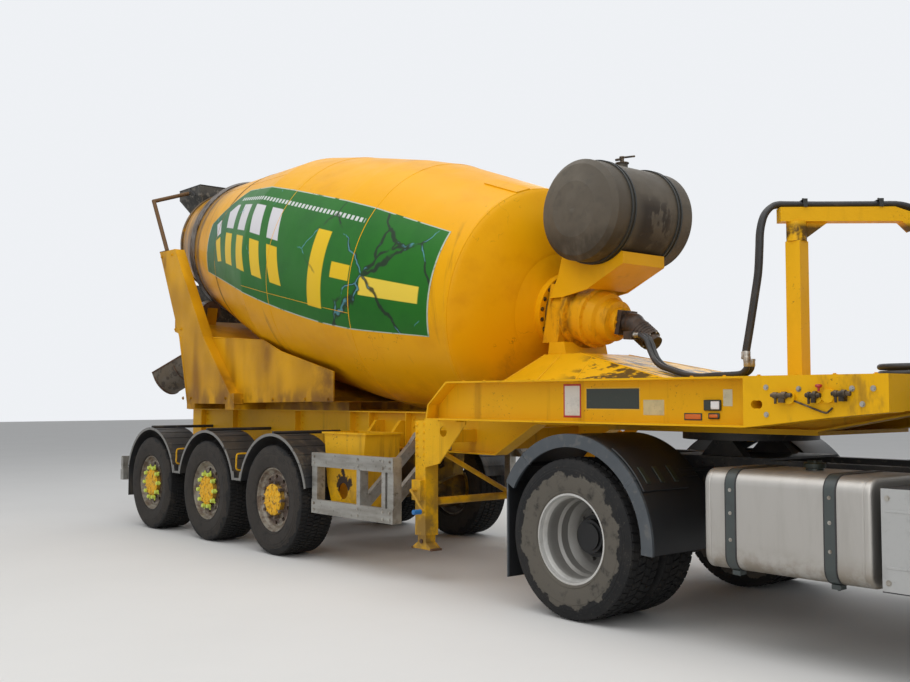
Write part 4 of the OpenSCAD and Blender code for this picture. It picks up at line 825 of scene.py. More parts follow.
# Side guards: extruded aluminium rails on welded brackets, grey with weather and scuffed along the edges,
# with bolts at the brackets and amber reflectors on the upper rail.
f = Finish("weathered_alloy", (0.36, 0.35, 0.32), 0.45, 0.55)
f.patch((0.19, 0.175, 0.15), 7, 0.4, 0.68, 0.75, stretch=(0.2, 1, 1))
f.patch((0.09, 0.07, 0.05), 24, 0.58, 0.7, 0.6, shift=4)
f.relief(f.noise(60, (0.1, 1, 1)), 0.0006)
weathered_alloy = f.done()
coat(weathered_alloy, "side_guards", "rear_bumper")
seats = flanked(1221, [(x, z) for x in (650, 1315, 1665, 1760) for z in (472, 528, 882, 938)])
bolted("side_guard_bolts", seats, 0.009, 0.007, plated, "trailer")
reflectors = bmesh.new()
for side in (-1, 1):
    for x in (900, 1480):
        block(reflectors, at(x, side * 1211, 895), at(x + 95, side * 1219, 925))
finished("side_reflectors", reflectors, amber_lens, "trailer", 0.003)

# Landing gear: square telescopic legs with rusty rocking feet, tied to the gooseneck by gussets, and the
# crank handle with its blue grip on the right leg.
blue_grip = enamel("blue_grip", (0.02, 0.16, 0.42), 0.45, 0.4)
rust = mottled("rusty_steel", (0.13, 0.062, 0.032), 0.75, 0.25, ((0.05, 0.028, 0.018), 12, 0.4, 0.65, 0.8),
    ((0.28, 0.13, 0.05), 40, 0.55, 0.68, 0.7, 3), relief=(50, 0.0015))
grip = bmesh.new()
turned(grip, [(0, 0), (0.014, 0.002), (0.021, 0.012), (0.019, 0.035), (0.021, 0.06), (0.018, 0.082),
    (0, 0.086)], facing(at(2105, -1170, 566), (0, -1, 0)), 18)
finished("crank_grip", grip, blue_grip, "trailer")
feet = bmesh.new()
for side in (-1, 1):
    for x in (-1, 1):
        block(feet, at(1960 + x * 118 - 12, side * 945, 244), at(1960 + x * 118 + 12, side * 1055, 262))
    rod(feet, at(1960, side * 938, 312), at(1960, side * 1062, 312), 0.018, 16)
finished("leg_feet", feet, rust, "trailer", 0.003)
seats = flanked(1065.5, [(x, z) for z in (1000, 1060, 1120, 1180, 1240) for x in (1915, 2005)])
bolted("leg_bolts", seats, 0.011, 0.010, frame_paint, "trailer", "yellow_paint")

# Storage bin: a folded sheet box on the right side of the frame. Its paint is burnt off round the
# opening, down to black scale.
f = painted("bin_paint", yellow, 0.9, 0.9, dirt=0.5)
f.layer((0.035, 0.022, 0.016), f.ramp(f.calc("ADD", ring_distance(f, at(900, 0, 0).x, 0.7),
    f.calc("MULTIPLY", f.noise(16), 0.25)), 0.245, 0.215))
coat(weathered(f), "storage_bin")

# Rear bumper: a box-section beam with a lamp cluster at each end, a bare plate between them, and red and
# white warning stripes over its whole width.
lamps = bmesh.new()
glasses = {"red": bmesh.new(), "amber": bmesh.new(), "white": bmesh.new()}
for side in (-1, 1):
    for y, colour in ((855, "white"), (985, "red"), (1115, "amber")):
        turned(glasses[colour], [(0, 0), (0.042, 0), (0.042, 0.004), (0.030, 0.009), (0, 0.011)],
            facing(at(-3650.5, side * y, 692), (-1, 0, 0)), 28)
        turned(lamps, [(0.043, -0.001), (0.050, -0.001), (0.050, 0.006), (0.046, 0.009), (0.043, 0.006),
            (0.043, -0.001)], facing(at(-3650.5, side * y, 692), (-1, 0, 0)), 28)
finished("tail_lamp_rings", lamps, dark_enamel, "trailer")
for colour, finish in (("red", red_lens), ("amber", amber_lens), ("white", clear_lens)):
    finished(f"tail_lamps_{colour}", glasses[colour], finish, "trailer")
stripes = {"red": bmesh.new(), "white": bmesh.new()}
for k in range(20):
    y = -1150 + k * 115
    block(stripes["red" if k % 2 else "white"], at(-3642, y, 490), at(-3640, y + 115, 590))
for colour, finish in (("red", red_enamel), ("white", white_enamel)):
    finished(f"bumper_stripes_{colour}", stripes[colour], finish, "trailer")
plate = bmesh.new()
block(plate, at(-3612.5, -260, 625), at(-3610.2, 260, 735))
finished("bare_plate", plate, white_enamel, "trailer", 0.0005)

# Front pedestal: a welded pyramid of plate on the gooseneck's deck, smeared with grease below the gearbox,
# with a bead of weld along every edge. The saddle of the water tank has the same coat.
f = painted("pedestal_paint", (0.78, 0.41, 0.004), 0.3, 0.3)
smear = f.both(f.ramp(f.along(2), 2.05, 1.95), f.ramp(f.along(0), at(2950, 0, 0).x, at(3300, 0, 0).x),
    f.spots(9, 0.49, 0.57, 0.9, stretch=(0.5, 1.3, 0.6), shift=12))
f.layer((0.028, 0.018, 0.012), smear)
coat(weathered(f), "front_pedestal", "tank_cradle")
seams = bmesh.new()
for a, b in (((2600, -290, 1800), (2440, -620, 1577)), ((2980, -290, 1800), (4040, -606, 1584)),
             ((2780, -290, 1800), (2820, -624, 1577)), ((3150, -345, 1762), (3220, -618, 1578))):
    for side in (1, -1):
        rod(seams, at(a[0], a[1] * side, a[2]), at(b[0], b[1] * side, b[2]), 0.005, 8)
finished("pedestal_seams", seams, frame_paint, "trailer")

# Gearbox and drum bearing: a cast housing in steps, a ring of screws at every joint, and black grease in
# the gap of the drum's flange.
tilt = math.radians(11.8)  # of the drum's axis, its mouth up
drum_place = moved(at(2490, 0, 2185)) @ Matrix.Rotation(tilt - math.pi / 2, 4, "Y")


def axial(f):
    """Distance along the drum's axis from its front flange, rearwards."""
    start = drum_place.translation
    x = f.calc("MULTIPLY", f.calc("SUBTRACT", f.along(0), start.x), -math.cos(tilt))
    z = f.calc("MULTIPLY", f.calc("SUBTRACT", f.along(2), start.z), math.sin(tilt))
    return f.calc("ADD", x, z)


f = painted("gear_paint", (0.76, 0.37, 0.004), 0.5, 0.5)
from_flange = axial(f)
f.layer((0.11, 0.045, 0.01), f.ramp(f.calc("ABSOLUTE", f.calc("ADD", from_flange, 0.27)), 0.1, 0.02),
    f.spots(9, 0.4, 0.66, 0.75, stretch=(1, 1, 0.5), shift=4))
f.layer((0.05, 0.035, 0.02), f.ramp(from_flange, -0.09, -0.07, 0.9))
f.patch((0.24, 0.1, 0.012), 12, 0.52, 0.72, 0.45, stretch=(1, 1, 0.35), shift=7)
gear_paint = weathered(f, 0.3, 0.6)
coat(gear_paint, "gearbox")
rearwards = drum_place.to_3x3() @ Vector((0, 0, 1))
seats = [(drum_place @ p, -rearwards if facing_front else rearwards)
    for count, reach, height, facing_front in ((24, 0.249, -0.2495, False), (24, 0.249, -0.2855, True),
    (20, 0.237, -0.4505, True), (12, 0.098, -0.7, True)) for p in circle(count, reach, height)]
bolted("gearbox_bolts", seats, 0.0085, 0.010, gear_paint, "trailer", "yellow_paint")
seats = [(drum_place @ p, -rearwards) for p in circle(20, 0.272, -0.060)]
plain_grease = mottled("flange_grease", (0.03, 0.022, 0.015), 0.3, 0,
    ((0.3, 0.15, 0.02), 30, 0.5, 0.62, 0.7))
bolted("drum_flange_bolts", seats, 0.012, 0.012, plain_grease, "drum", "yellow_paint")

# Drum motor: a bent-axis hydraulic motor of dark cast iron, rusty and oily, with cooling ribs round its
# body and a ring of cap screws on its end.
motor_iron = mottled("motor_iron", (0.055, 0.034, 0.022), 0.5, 0.3,
    ((0.025, 0.018, 0.014), 14, 0.42, 0.62, 0.75), ((0.15, 0.075, 0.034), 24, 0.56, 0.72, 0.6, 5),
    relief=(60, 0.001))
coat(motor_iron, "drive_motor")
ribs = bmesh.new()
start, end = at(3273, 0, 2021), at(3440, 0, 1890)
for k in range(5):
    turned(ribs, [(0.080, 0), (0.088, 0.001), (0.088, 0.007), (0.080, 0.008)],
        facing(start.lerp(end, 0.38 + 0.12 * k), end - start), 28)
finished("motor_ribs", ribs, motor_iron, "trailer")
seats = [(end + (end - start).normalized() * 0.002 + facing(Vector(), end - start).to_3x3() @ p,
    (end - start).normalized()) for p in circle(8, 0.074)]
bolted("motor_bolts", seats, 0.007, 0.008, plated, "trailer")

# Drum: rolled steel cones and a cylinder, butt-welded. The orange-yellow paint has dark runs and scratches,
# and the bare roller ring and the mouth's rim are grey steel.
profile = [(0, 300), (60, 460), (140, 720), (220, 880), (300, 985), (1450, 1150), (1900, 1170),
    (2900, 1165), (3400, 1145), (5260, 770), (5900, 600)]


def shell_radius(station):
    """The drum's outer radius at a distance from its front flange, both in millimetres."""
    for (s0, r0), (s1, r1) in zip(profile, profile[1:]):
        if station <= s1:
            return r0 + (r1 - r0) * (station - s0) / (s1 - s0)
    return profile[-1][1]


f = Finish("drum_paint", (0.8, 0.372, 0.002), 0.3)
f.set("Specular IOR Level", 0.12)
from_flange = axial(f)
f.patch((0.84, 0.43, 0.006), 0.8, 0.42, 0.72, 0.55)
f.patch((0.62, 0.25, 0.003), 2.1, 0.5, 0.75, 0.4, stretch=(0.6, 1, 1), shift=3)
runs = f.both(f.spots(8, 0.56, 0.7, stretch=(1, 0.3, 0.08), shift=6),
    f.spots(0.9, 0.46, 0.6, 0.55, shift=2))
f.layer((0.3, 0.13, 0.01), runs)
hairs = f.both(f.near(f.noise(2.2, shift=8), 0.5, 0.003, 0.0012), f.spots(1.3, 0.585, 0.62, 0.5, shift=4))
f.layer((0.22, 0.1, 0.01), hairs)
# Darker towards the underside: partly grime, partly painted shade.
grime_and_shade_below = f.both(f.ramp(f.along(2), 1.9, 1.2), f.spots(3, 0.3, 0.6, 0.55))
f.layer((0.36, 0.17, 0.01), grime_and_shade_below)
grime = f.both(f.ramp(from_flange, 4.55, 5.25), f.spots(3.2, 0.25, 0.6, 0.88, stretch=(1, 0.5, 0.35),
    shift=12))
f.layer((0.17, 0.088, 0.018), grime)
for station in (4.33, 5.02, 5.46):
    f.layer((0.11, 0.055, 0.012), f.near(from_flange, station, 0.05, 0.012),
        f.spots(6, 0.3, 0.55, 0.8, shift=14))
on_ring = f.near(from_flange, 5.21, 0.0515, 0.05)
steel = f.blend(f.spots(8, 0.4, 0.65, stretch=(6, 1, 1)), (0.19, 0.17, 0.15, 1), (0.07, 0.045, 0.03, 1))
f.layer(steel, on_ring)
f.layer((0.1, 0.085, 0.07), f.ramp(from_flange, 5.84, 5.87), f.spots(14, 0.3, 0.5, 0.8))
f.sheen(f.noise(5, shift=7), 0.2, 0.5)
f.relief(f.noise(3.5, shift=9), 0.004)
drum_paint = f.done()
coat(drum_paint, "drum")
knots = [(60, 461, 3.6), (140, 721, 2.6), (220, 881, 1.65), (300, 986, 0.55), (345, 992.5, 0.144)]
crown = []
for (s0, r0, m0), (s1, r1, m1) in zip(knots, knots[1:]):
    for k in range(8):
        t, span = k / 8, s1 - s0
        blend = 3 * t * t - 2 * t ** 3
        bulge = (t ** 3 - 2 * t * t + t) * span * m0 + (t ** 3 - t * t) * span * m1
        crown.append(((1 - blend) * r0 + blend * r1 + bulge, s0 + span * t))
crown += [(992.5, 345)] + [(r - 4.5, s) for s, r, _ in reversed(knots)]
dish = bmesh.new()
turned(dish, [(r / 1000, s / 1000) for r, s in crown + crown[:1]], drum_place, 144)
finished("drum_dish", dish, drum_paint, "drum")
welds = bmesh.new()
for station in (300, 1450, 2840, 4330):
    r = shell_radius(station) / 1000
    turned(welds, [(r - 0.004, station / 1000 - 0.007), (r + 0.002, station / 1000 - 0.004),
        (r + 0.003, station / 1000), (r + 0.002, station / 1000 + 0.004),
        (r - 0.004, station / 1000 + 0.007)], drum_place, 160)
for first, last, angles in ((300, 1450, (20, 200)), (1450, 3400, (75, 255)), (3400, 5150, (140, 320))):
    for angle in angles:
        a = math.radians(angle)
        ahead = Vector((math.cos(a), math.sin(a), 0))
        steps = [first + (last - first) * k / 12 for k in range(13)]
        for s0, s1 in zip(steps, steps[1:]):
            p0, p1 = (drum_place @ (ahead * (shell_radius(s) / 1000 - 0.001) + Vector((0, 0, s / 1000)))
                for s in (s0, s1))
            rod(welds, p0, p1, 0.004, 6)
for angle in (-19, 161):
    place = drum_place @ turned_by(angle, "Z") @ moved((shell_radius(500) / 1000, 0, 0.50))
    block(welds, (-0.012, -0.075, -0.20), (0.008, 0.075, 0.20), place @ turned_by(8.2, "Y"))
finished("drum_welds", welds, drum_paint, "drum")

# Lettered panels: green vinyl sheet glued to each side of the drum, pale-edged, torn and scratched. In
# place of any words they carry plain slanted bars of the same white and yellow.
f = Finish("green_vinyl", (0.012, 0.135, 0.008), 0.42)
f.set("Specular IOR Level", 0.22)
where = f.node("ShaderNodeUVMap", uv_map="panel").outputs[0]
parts = f.node("ShaderNodeSeparateXYZ", {0: where})
u, v = parts.outputs[0], parts.outputs[1]
f.patch((0.006, 0.095, 0.008), 2.5, 0.4, 0.7, 0.5)
f.layer((0.01, 0.085, 0.06), f.ramp(u, 0.8, 0.99, 0.55))
slanted = f.calc("SUBTRACT", u, f.calc("MULTIPLY", v, 0.12))
bars = f.calc("FRACT", f.calc("MULTIPLY", slanted, 11.0))
for v0, v1, last, half, colour in ((0.54, 0.80, 0.86, 0.31, (0.66, 0.64, 0.66)),
                                   (0.20, 0.49, 0.87, 0.29, (0.78, 0.50, 0.01))):
    f.layer(colour, f.within(v, v0, v1), f.within(slanted, 0.455, last, 0.001),
        f.near(bars, 0.5, half, half - 0.025))
dashes = f.ramp(f.calc("FRACT", f.calc("MULTIPLY", u, 62)), 0.36, 0.44)
f.layer((0.6, 0.62, 0.6), f.within(v, 0.85, 0.888), f.within(u, 0.24, 0.86), dashes)
for v0, v1, u0, u1, colour in ((0.12, 0.72, 0.33, 0.385, (0.78, 0.50, 0.01)),
                               (0.38, 0.50, 0.235, 0.30, (0.78, 0.50, 0.01)),
                               (0.29, 0.44, 0.03, 0.20, (0.80, 0.58, 0.06))):
    f.layer(colour, f.within(v, v0, v1), f.within(u, u0, u1, 0.002))
jitter = f.node("ShaderNodeTexNoise", {"Vector": f.place, "Scale": 6})
wobble = f.node("ShaderNodeMix", {0: 0.12, 4: f.place, 5: jitter.outputs["Color"]}, data_type="VECTOR")
cracks = f.node("ShaderNodeTexVoronoi", {"Vector": wobble.outputs[1], "Scale": 1.7},
    feature="DISTANCE_TO_EDGE")
scar = f.both(f.ramp(cracks.outputs["Distance"], 0.03, 0.012), f.spots(1.5, 0.47, 0.55, 0.9, shift=6),
    f.ramp(u, 0.45, 0.3))
f.layer((0.012, 0.02, 0.012), scar)
f.layer((0.1, 0.32, 0.38), f.ramp(cracks.outputs["Distance"], 0.012, 0.006),
    f.spots(1.9, 0.55, 0.6, 0.7, shift=3))
border = f.calc("MAXIMUM", f.near(v, 0.5, 0.489, 0.492), f.near(u, 0.5, 0.4955, 0.497))
f.layer((0.5, 0.55, 0.46), border, f.spots(9, 0.3, 0.45, 0.9))
f.sheen(f.noise(4, shift=3), 0.28, 0.55)
vinyl = f.done()
panel = bmesh.new()
panel_uv = panel.loops.layers.uv.new("panel")
columns, rows = 150, 60
for turn in (0, 180):
    grid = []
    for i in range(columns + 1):
        u_at = i / columns
        station = 495 + (4640 - 495) * u_at
        top = 31 + (42.5 - 31) * min(1, u_at * 1.12)
        if u_at > 0.86:
            top -= (u_at - 0.86) / 0.14 * 26
        bottom = -20 - 3.4 * math.sin(min(1, u_at * 1.4) * math.pi) + 2 * u_at
        reach = (shell_radius(station) + 1.6) / 1000
        line = []
        for j in range(rows + 1):
            v_at = j / rows
            a = math.radians(bottom + (top - bottom) * v_at + turn)
            local = Vector((math.sin(a) * reach, -math.cos(a) * reach, station / 1000))
            line.append((panel.verts.new(drum_place @ local), (u_at, v_at)))
        grid.append(line)
    for i in range(columns):
        for j in range(rows):
            ring = (grid[i][j], grid[i + 1][j], grid[i + 1][j + 1], grid[i][j + 1])
            face = panel.faces.new([c[0] for c in ring])
            for loop, corner in zip(face.loops, ring):
                loop[panel_uv].uv = corner[1]
made = bpy.data.meshes.new("drum_panels")
bmesh.ops.recalc_face_normals(panel, faces=panel.faces)
for face in panel.faces:
    spot = face.calc_center_median() - drum_place.translation
    if face.normal.dot(spot - rearwards * spot.dot(rearwards)) < 0:
        face.normal_flip()
panel.to_mesh(made)
panel.free()
made.materials.append(vinyl)
made.polygons.foreach_set("use_smooth", [True] * len(made.polygons))
panels = bpy.data.objects.new("drum_panels", made)
scene.collection.objects.link(panels)
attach(panels, "drum")

# Water tank: a ribbed steel drum under a film of grey cement dust, held by two pairs of rubber-lined straps
# on a yellow tray, with a brass filler valve on top.
f = Finish("dusty_tank", (0.09, 0.076, 0.058), 0.62)
f.set("Specular IOR Level", 0.25)
f.patch((0.135, 0.115, 0.088), 1.8, 0.4, 0.68, 0.7)
f.patch((0.07, 0.062, 0.05), 9, 0.5, 0.7, 0.5, stretch=(1, 0.2, 1), shift=3)
across = f.aside()
patch = f.both(f.ramp(across, 0.24, 0.12), f.ramp(f.along(0), at(3250, 0, 0).x, at(3400, 0, 0).x),
    f.ramp(f.along(2), 3.02, 2.88), f.spots(6, 0.43, 0.49, 0.92, stretch=(1, 1, 0.55), shift=6))
f.layer((0.026, 0.019, 0.013), patch)
# Darker towards the bottom of the tank.
darker_below = f.both(f.ramp(f.along(2), 2.78, 2.62), f.spots(5, 0.35, 0.6, 0.8, stretch=(1, 1, 0.4), shift=9))
f.layer((0.035, 0.028, 0.02), darker_below)
strap_line = f.near(across, 0.275, 0.0245, 0.0235)
f.layer((0.042, 0.038, 0.03), strap_line)
f.sheen(f.noise(5, shift=2), 0.45, 0.75)
f.relief(f.noise(5, shift=5), 0.003)
coat(f.done(), "water_tank")
straps = bmesh.new()
tank_place = moved(at(3120, 0, 2885)) @ turned_by(90, "X")
for y in (-0.275, 0.275):
    for edge in (y - 0.019, y + 0.019):
        inside, outside, first, last = 0.3965, 0.4035, edge - 0.007, edge + 0.007
        turned(straps, [(inside, first), (outside, first), (outside, last), (inside, last),
            (inside, first)], tank_place, 96)
strap_black = enamel("strap_black", (0.02, 0.022, 0.02), 0.5, 0.6)
finished("tank_straps", straps, strap_black, "trailer")
filler = bmesh.new()
top = at(3120, 60, 2885 + 438)
turned(filler, [(0.047, -0.01), (0.055, -0.008), (0.055, 0.0), (0.020, 0.002), (0.016, 0.018),
    (0.016, 0.035), (0.022, 0.038), (0.022, 0.050), (0, 0.054)], facing(top, (0, 0, 1)), 24)
rod(filler, top + Vector((0, 0, 0.042)), top + Vector((0.02, 0.13, 0.070)), 0.008, 8)
rod(filler, top + Vector((0, -0.02, 0.026)), top + Vector((0.0, -0.075, 0.012)), 0.010, 8)
finished("tank_valve", filler, brass, "trailer")

# Rear pedestal: two leaning box columns on a frame, the bridge of the support rollers between them, and
# curved side sheets under the drum. Wash water has run down it for years and left brown streaks.
f = painted("rear_paint", (0.72, 0.355, 0.003), 0.3, 0.0)
f.patch((0.4, 0.185, 0.004), 1.3, 0.4, 0.62, 0.7, stretch=(1, 1, 0.6), detail=2, shift=21)
f.layer((0.2, 0.075, 0.006), f.spots(3.0, 0.48, 0.72, 0.8, stretch=(1, 1, 0.22), detail=1.2, shift=15),
    f.spots(1.4, 0.4, 0.6, 0.9, shift=13))
f.layer((0.15, 0.06, 0.008), f.ramp(f.along(0), at(-150, 0, 0).x, at(380, 0, 0).x),
    f.spots(4, 0.3, 0.62, 0.85, shift=8))
f.layer((0.16, 0.065, 0.01), f.ramp(f.along(2), 1.62, 1.42),
    f.spots(5, 0.35, 0.6, 0.7, stretch=(1, 1, 0.7), detail=2, shift=5))
rear_paint = weathered(f)
coat(rear_paint, "rear_pedestal")
seats = flanked(950.5, ((-3090, 3120), (-2830, 3120), (-2700, 2240), (-2560, 2240), (-2480, 1450),
    (-2300, 1450), (-1500, 1450)))
seats += flanked(846.5, [(x, 1440) for x in (-1850, -1300, -700, -100, 300)])
bolted("pedestal_bolts", seats, 0.013, 0.012, rear_paint, "trailer", "yellow_paint")
flanges = bmesh.new()
for side in (-1, 1):
    for a, b in (((-2580, 2150), (-2365, 1395)), ((-2010, 2120), (-1300, 1395))):
        rod(flanges, at(a[0], side * 951, a[1]), at(b[0], side * 951, b[1]), 0.006, 8)
    wire(flanges, [at(x, side * 840, z) for x, z in ((-2100, 2127), (-900, 2042), (-550, 1912),
        (392, 1692))], 0.009)
finished("pedestal_seams_rear", flanges, rear_paint, "trailer")

# Support rollers: two turned steel rollers below the drum, bright on the tread where its ring runs and
# browned by rust elsewhere.
coat(mottled("roller_steel", (0.33, 0.32, 0.3), 0.35, 0.8, ((0.1, 0.06, 0.035), 20, 0.45, 0.68, 0.7)),
    "roller_left", "roller_right")

# Hoppers: pressed steel troughs in black, crusted with grey concrete, on rusty tube stays; the upper one
# loads the drum and the lower one collects what it pours out.
f = Finish("crusted_hopper", (0.035, 0.034, 0.031), 0.75)
f.patch((0.085, 0.078, 0.066), 4, 0.42, 0.62, 0.85)
f.patch((0.17, 0.155, 0.13), 17, 0.52, 0.64, 0.8, shift=3)
f.layer((0.13, 0.062, 0.016), f.ramp(f.aside(), 0.433, 0.436),
    f.spots(5, 0.2, 0.4, 0.9, shift=8))
f.relief(f.noise(22), 0.006)
crust = f.done()
coat(crust, "hopper")
lip = bmesh.new()
loop = [at(x, y, 4072) for x, y in ((-3747, -417), (-3193, -417), (-3193, 417), (-3747, 417),
    (-3747, -417))]
wire(lip, loop, 0.0078, 10)
for side in (-1, 1):
    rod(lip, at(-3480, side * 424, 4060), at(-3300, side * 424, 3960), 0.010, 8)
finished("hopper_lip", lip, rubber, "trailer")

# Chute: a half-round trough rolled from wear plate, crusted inside and rusty at its open end, on a forked
# turret post.
f = Finish("worn_trough", (0.115, 0.088, 0.058), 0.7)
f.patch((0.14, 0.12, 0.095), 5, 0.42, 0.62, 0.8)
f.patch((0.045, 0.032, 0.022), 15, 0.5, 0.62, 0.8, shift=3)
f.layer((0.16, 0.06, 0.025), f.ramp(f.along(0), -6.25, -6.4), f.spots(9, 0.25, 0.5, 0.9, shift=6))
f.relief(f.noise(20), 0.004)
trough = f.done()
coat(trough, "chute", "chute_turret")
chute_place = (moved(at(-3260, 0, 0)) @ turned_by(205, "Z") @ moved((0, 0, 2.150)) @ turned_by(115, "Y")
    @ moved((0, 0, -0.110)))
hoops = bmesh.new()
for height in (0.02, 0.42, 0.80, 1.13):
    arc = [chute_place @ Vector((0.238 * math.cos(a), 0.238 * math.sin(a), height))
        for a in (math.radians(k) for k in range(-90, 91, 9))]
    wire(hoops, arc, 0.006)
for side in (-1, 1):
    ends = (chute_place @ Vector((-0.066, side * 0.236, height)) for height in (0.006, 1.144))
    rod(hoops, *ends, 0.009, 8)
finished("chute_hoops", hoops, rust, "chute")

# Hose post and boom: square tubes with welded caps; the boom turns on a greased collar and carries the
# hoses in saddles, tied down with black bands.
f = painted("boom_paint", yellow, 0.4, 0.3)
f.layer((0.035, 0.022, 0.012), f.within(f.along(2), 2.36, 2.53, 0.02), f.spots(9, 0.34, 0.5, 0.9, shift=3))
coat(weathered(f), "hose_boom")
band = bmesh.new()
boom_turn = moved(at(4960, -450, 0)) @ turned_by(48, "Z")
for along in (0.03, 0.50):
    for y0, y1, z0, z1 in ((-0.056, -0.048, 2.640, 2.692), (0.048, 0.056, 2.640, 2.692),
                           (-0.056, 0.056, 2.686, 2.693)):
        block(band, (along, y0, z0), (along + 0.026, y1, z1), boom_turn)
    rod(band, boom_turn @ Vector((along + 0.013, 0, 2.692)), boom_turn @ Vector((along + 0.013, 0, 2.704)),
        0.007, 8)
finished("hose_bands", band, strap_black, "hose_boom", 0.002)

# Tractor frame: black channel rails, drilled and bolted, with oily dust on every flat. The fifth wheel,
# the axles and the steering knuckles share the same coat.
chassis = mottled("chassis_black", (0.018, 0.018, 0.019), 0.5, 0,
    ((0.05, 0.044, 0.036), 4, 0.42, 0.68, 0.75), ((0.1, 0.085, 0.065), 26, 0.56, 0.68, 0.6, 5),
    relief=(30, 0.001))
coat(chassis, "tractor_frame", "fifth_wheel", "tractor_axles", "knuckle_left", "knuckle_right")
seats = flanked(380.5, [(x, z) for x in range(3300, 8200, 175) for z in (830, 1010)])
bolted("rail_bolts", seats, 0.011, 0.010, chassis, "tractor", "black_paint")

# Drive wheels: twin tyres with deep lugs, dusted tan by dried mud, on bright deep-dished steel rims with a
# dark hub and ten nuts.
hub_z, drive_axle_x, front_axle_x = 530, 3762, 7362
drive_centre = at(drive_axle_x, 0, hub_z)
f = Finish("bright_rim", (0.6, 0.59, 0.56), 0.38, 0.35)
away = ring_distance(f, drive_centre.x, drive_centre.z)
f.patch((0.4, 0.38, 0.35), 5, 0.46, 0.72, 0.55)
f.patch((0.2, 0.17, 0.14), 26, 0.6, 0.74, 0.4, shift=3)
# Painted shade: the rim darkens deeper into its dish.
depth = f.aside()
f.layer((0.17, 0.16, 0.145), f.ramp(depth, 1.235, 1.15, 0.75))
f.layer((0.07, 0.066, 0.06), f.ramp(away, 0.212, 0.192, 0.8))
f.layer((0.014, 0.014, 0.015), f.ramp(away, 0.142, 0.139))
f.relief(f.noise(30), 0.0002)
coat(f.done(), "drive_rims_left", "drive_rims_right")
drive_rubber = tyre_rubber("drive_rubber", drive_centre, None, 0.85, (0.125, 0.112, 0.092), 0.425)
for side, word in ((1, "left"), (-1, "right")):
    places = [axle_place(at(drive_axle_x, side * (946.5 + k * 172.5), hub_z), side) for k in (-1, 1)]
    tyre(f"drive_tyre_pair_{word}", 0.530, 0.312, places, f"drive_wheels_{word}", f"drive_tyres_{word}",
        drive_rubber, 58, 4, 0.010)

# Tractor mudguards: grey moulded plastic in three parts with a raised lip, clamped to tube stays, and a
# flat cover with a latched lid in front of the wheel.
f = Finish("tractor_guard", (0.052, 0.061, 0.07), 0.45)
f.patch((0.085, 0.092, 0.1), 3.5, 0.42, 0.7, 0.6)
f.patch((0.13, 0.125, 0.115), 18, 0.55, 0.7, 0.5, shift=4)
inner = f.ramp(f.aside(), 1.2435, 1.2415)
f.layer((0.016, 0.0165, 0.018), inner)
f.relief(f.noise(120), 0.0005)
guard = f.done()
coat(guard, "drive_mudguards")


def sleeved(mesh, sections, closed=False):
    """Joins the sections into one skin, ring to ring."""
    rings = [[mesh.verts.new(p) for p in ring] for ring in sections]
    for near, far in zip(rings, rings[1:] + (rings[:1] if closed else [])):
        for k in range(len(near)):
            mesh.faces.new((near[k], near[(k + 1) % len(near)], far[(k + 1) % len(near)], far[k]))
    if not closed:
        mesh.faces.new(rings[0])
        mesh.faces.new(rings[-1])


joints = bmesh.new()
for side in (-1, 1):
    for angle in (38, 128):
        a = math.radians(angle)
        place = moved(drive_centre + Vector((math.cos(a), 0, math.sin(a))) * 0.642) @ Matrix.Rotation(
            math.pi / 2 - a, 4, "Y")
        block(joints, (-0.012, side * 1.243, -0.046), (0.012, side * 1.2665, 0.048), place)
        block(joints, (-0.012, side * 0.62, 0.042), (0.012, side * 1.2665, 0.048), place)
finished("guard_joints", joints, guard, "tractor", 0.003)
lids = bmesh.new()
latches = bmesh.new()
for side in (-1, 1):
    for mesh, low, high, first, last, inner_y, outer_y in (
            (lids, 0.686, 0.700, 30, 60, 0.79, 1.238), (latches, 0.698, 0.706, 34, 44, 0.86, 0.90),
            (latches, 0.698, 0.706, 34, 44, 1.00, 1.04), (latches, 0.698, 0.706, 34, 44, 1.14, 1.18)):
        angles = [math.radians(first + (last - first) * k / 8) for k in range(9)]
        sleeved(mesh, [[drive_centre + Vector((math.cos(a) * r, side * y, math.sin(a) * r))
            for r, y in ((low, inner_y), (high, inner_y), (high, outer_y), (low, outer_y))]
            for a in angles])
finished("guard_lids", lids, guard, "tractor", 0.004)
finished("guard_latches", latches, dark_enamel, "tractor", 0.002)

# Fuel tank: deep-drawn brushed aluminium with rounded corners, a dark cap and two strap bands lined with
# black rubber.
f = Finish("brushed_tank", (0.44, 0.42, 0.39), 0.42, 0.75)
f.patch((0.36, 0.34, 0.31), 3, 0.42, 0.7, 0.5, stretch=(3, 1, 0.5))
f.layer((0.22, 0.18, 0.13), f.ramp(f.along(2), 0.66, 0.47), f.spots(9, 0.3, 0.6, 0.8, shift=5))
f.relief(f.noise(40, (5, 1, 0.05)), 0.0002)
f.sheen(f.noise(6, (2, 1, 0.4), shift=2), 0.36, 0.52)
brushed = f.done()


def tank_section(x, inset, corner=88, steps=9):
    """The tank's rounded outline at a station, drawn in by an inset, all in millimetres."""
    r = max(corner - inset, 4)
    ring = []
    for y, z, first in ((-640 - inset - r, 1045 - inset - r, 0), (-1240 + inset + r, 1045 - inset - r, 90),
            (-1240 + inset + r, 475 + inset + r, 180), (-640 - inset - r, 475 + inset + r, 270)):
        for k in range(steps + 1):
            a = math.radians(first + 90 * k / steps)
            ring.append(at(x, y + r * math.cos(a), z + r * math.sin(a)))
    return ring


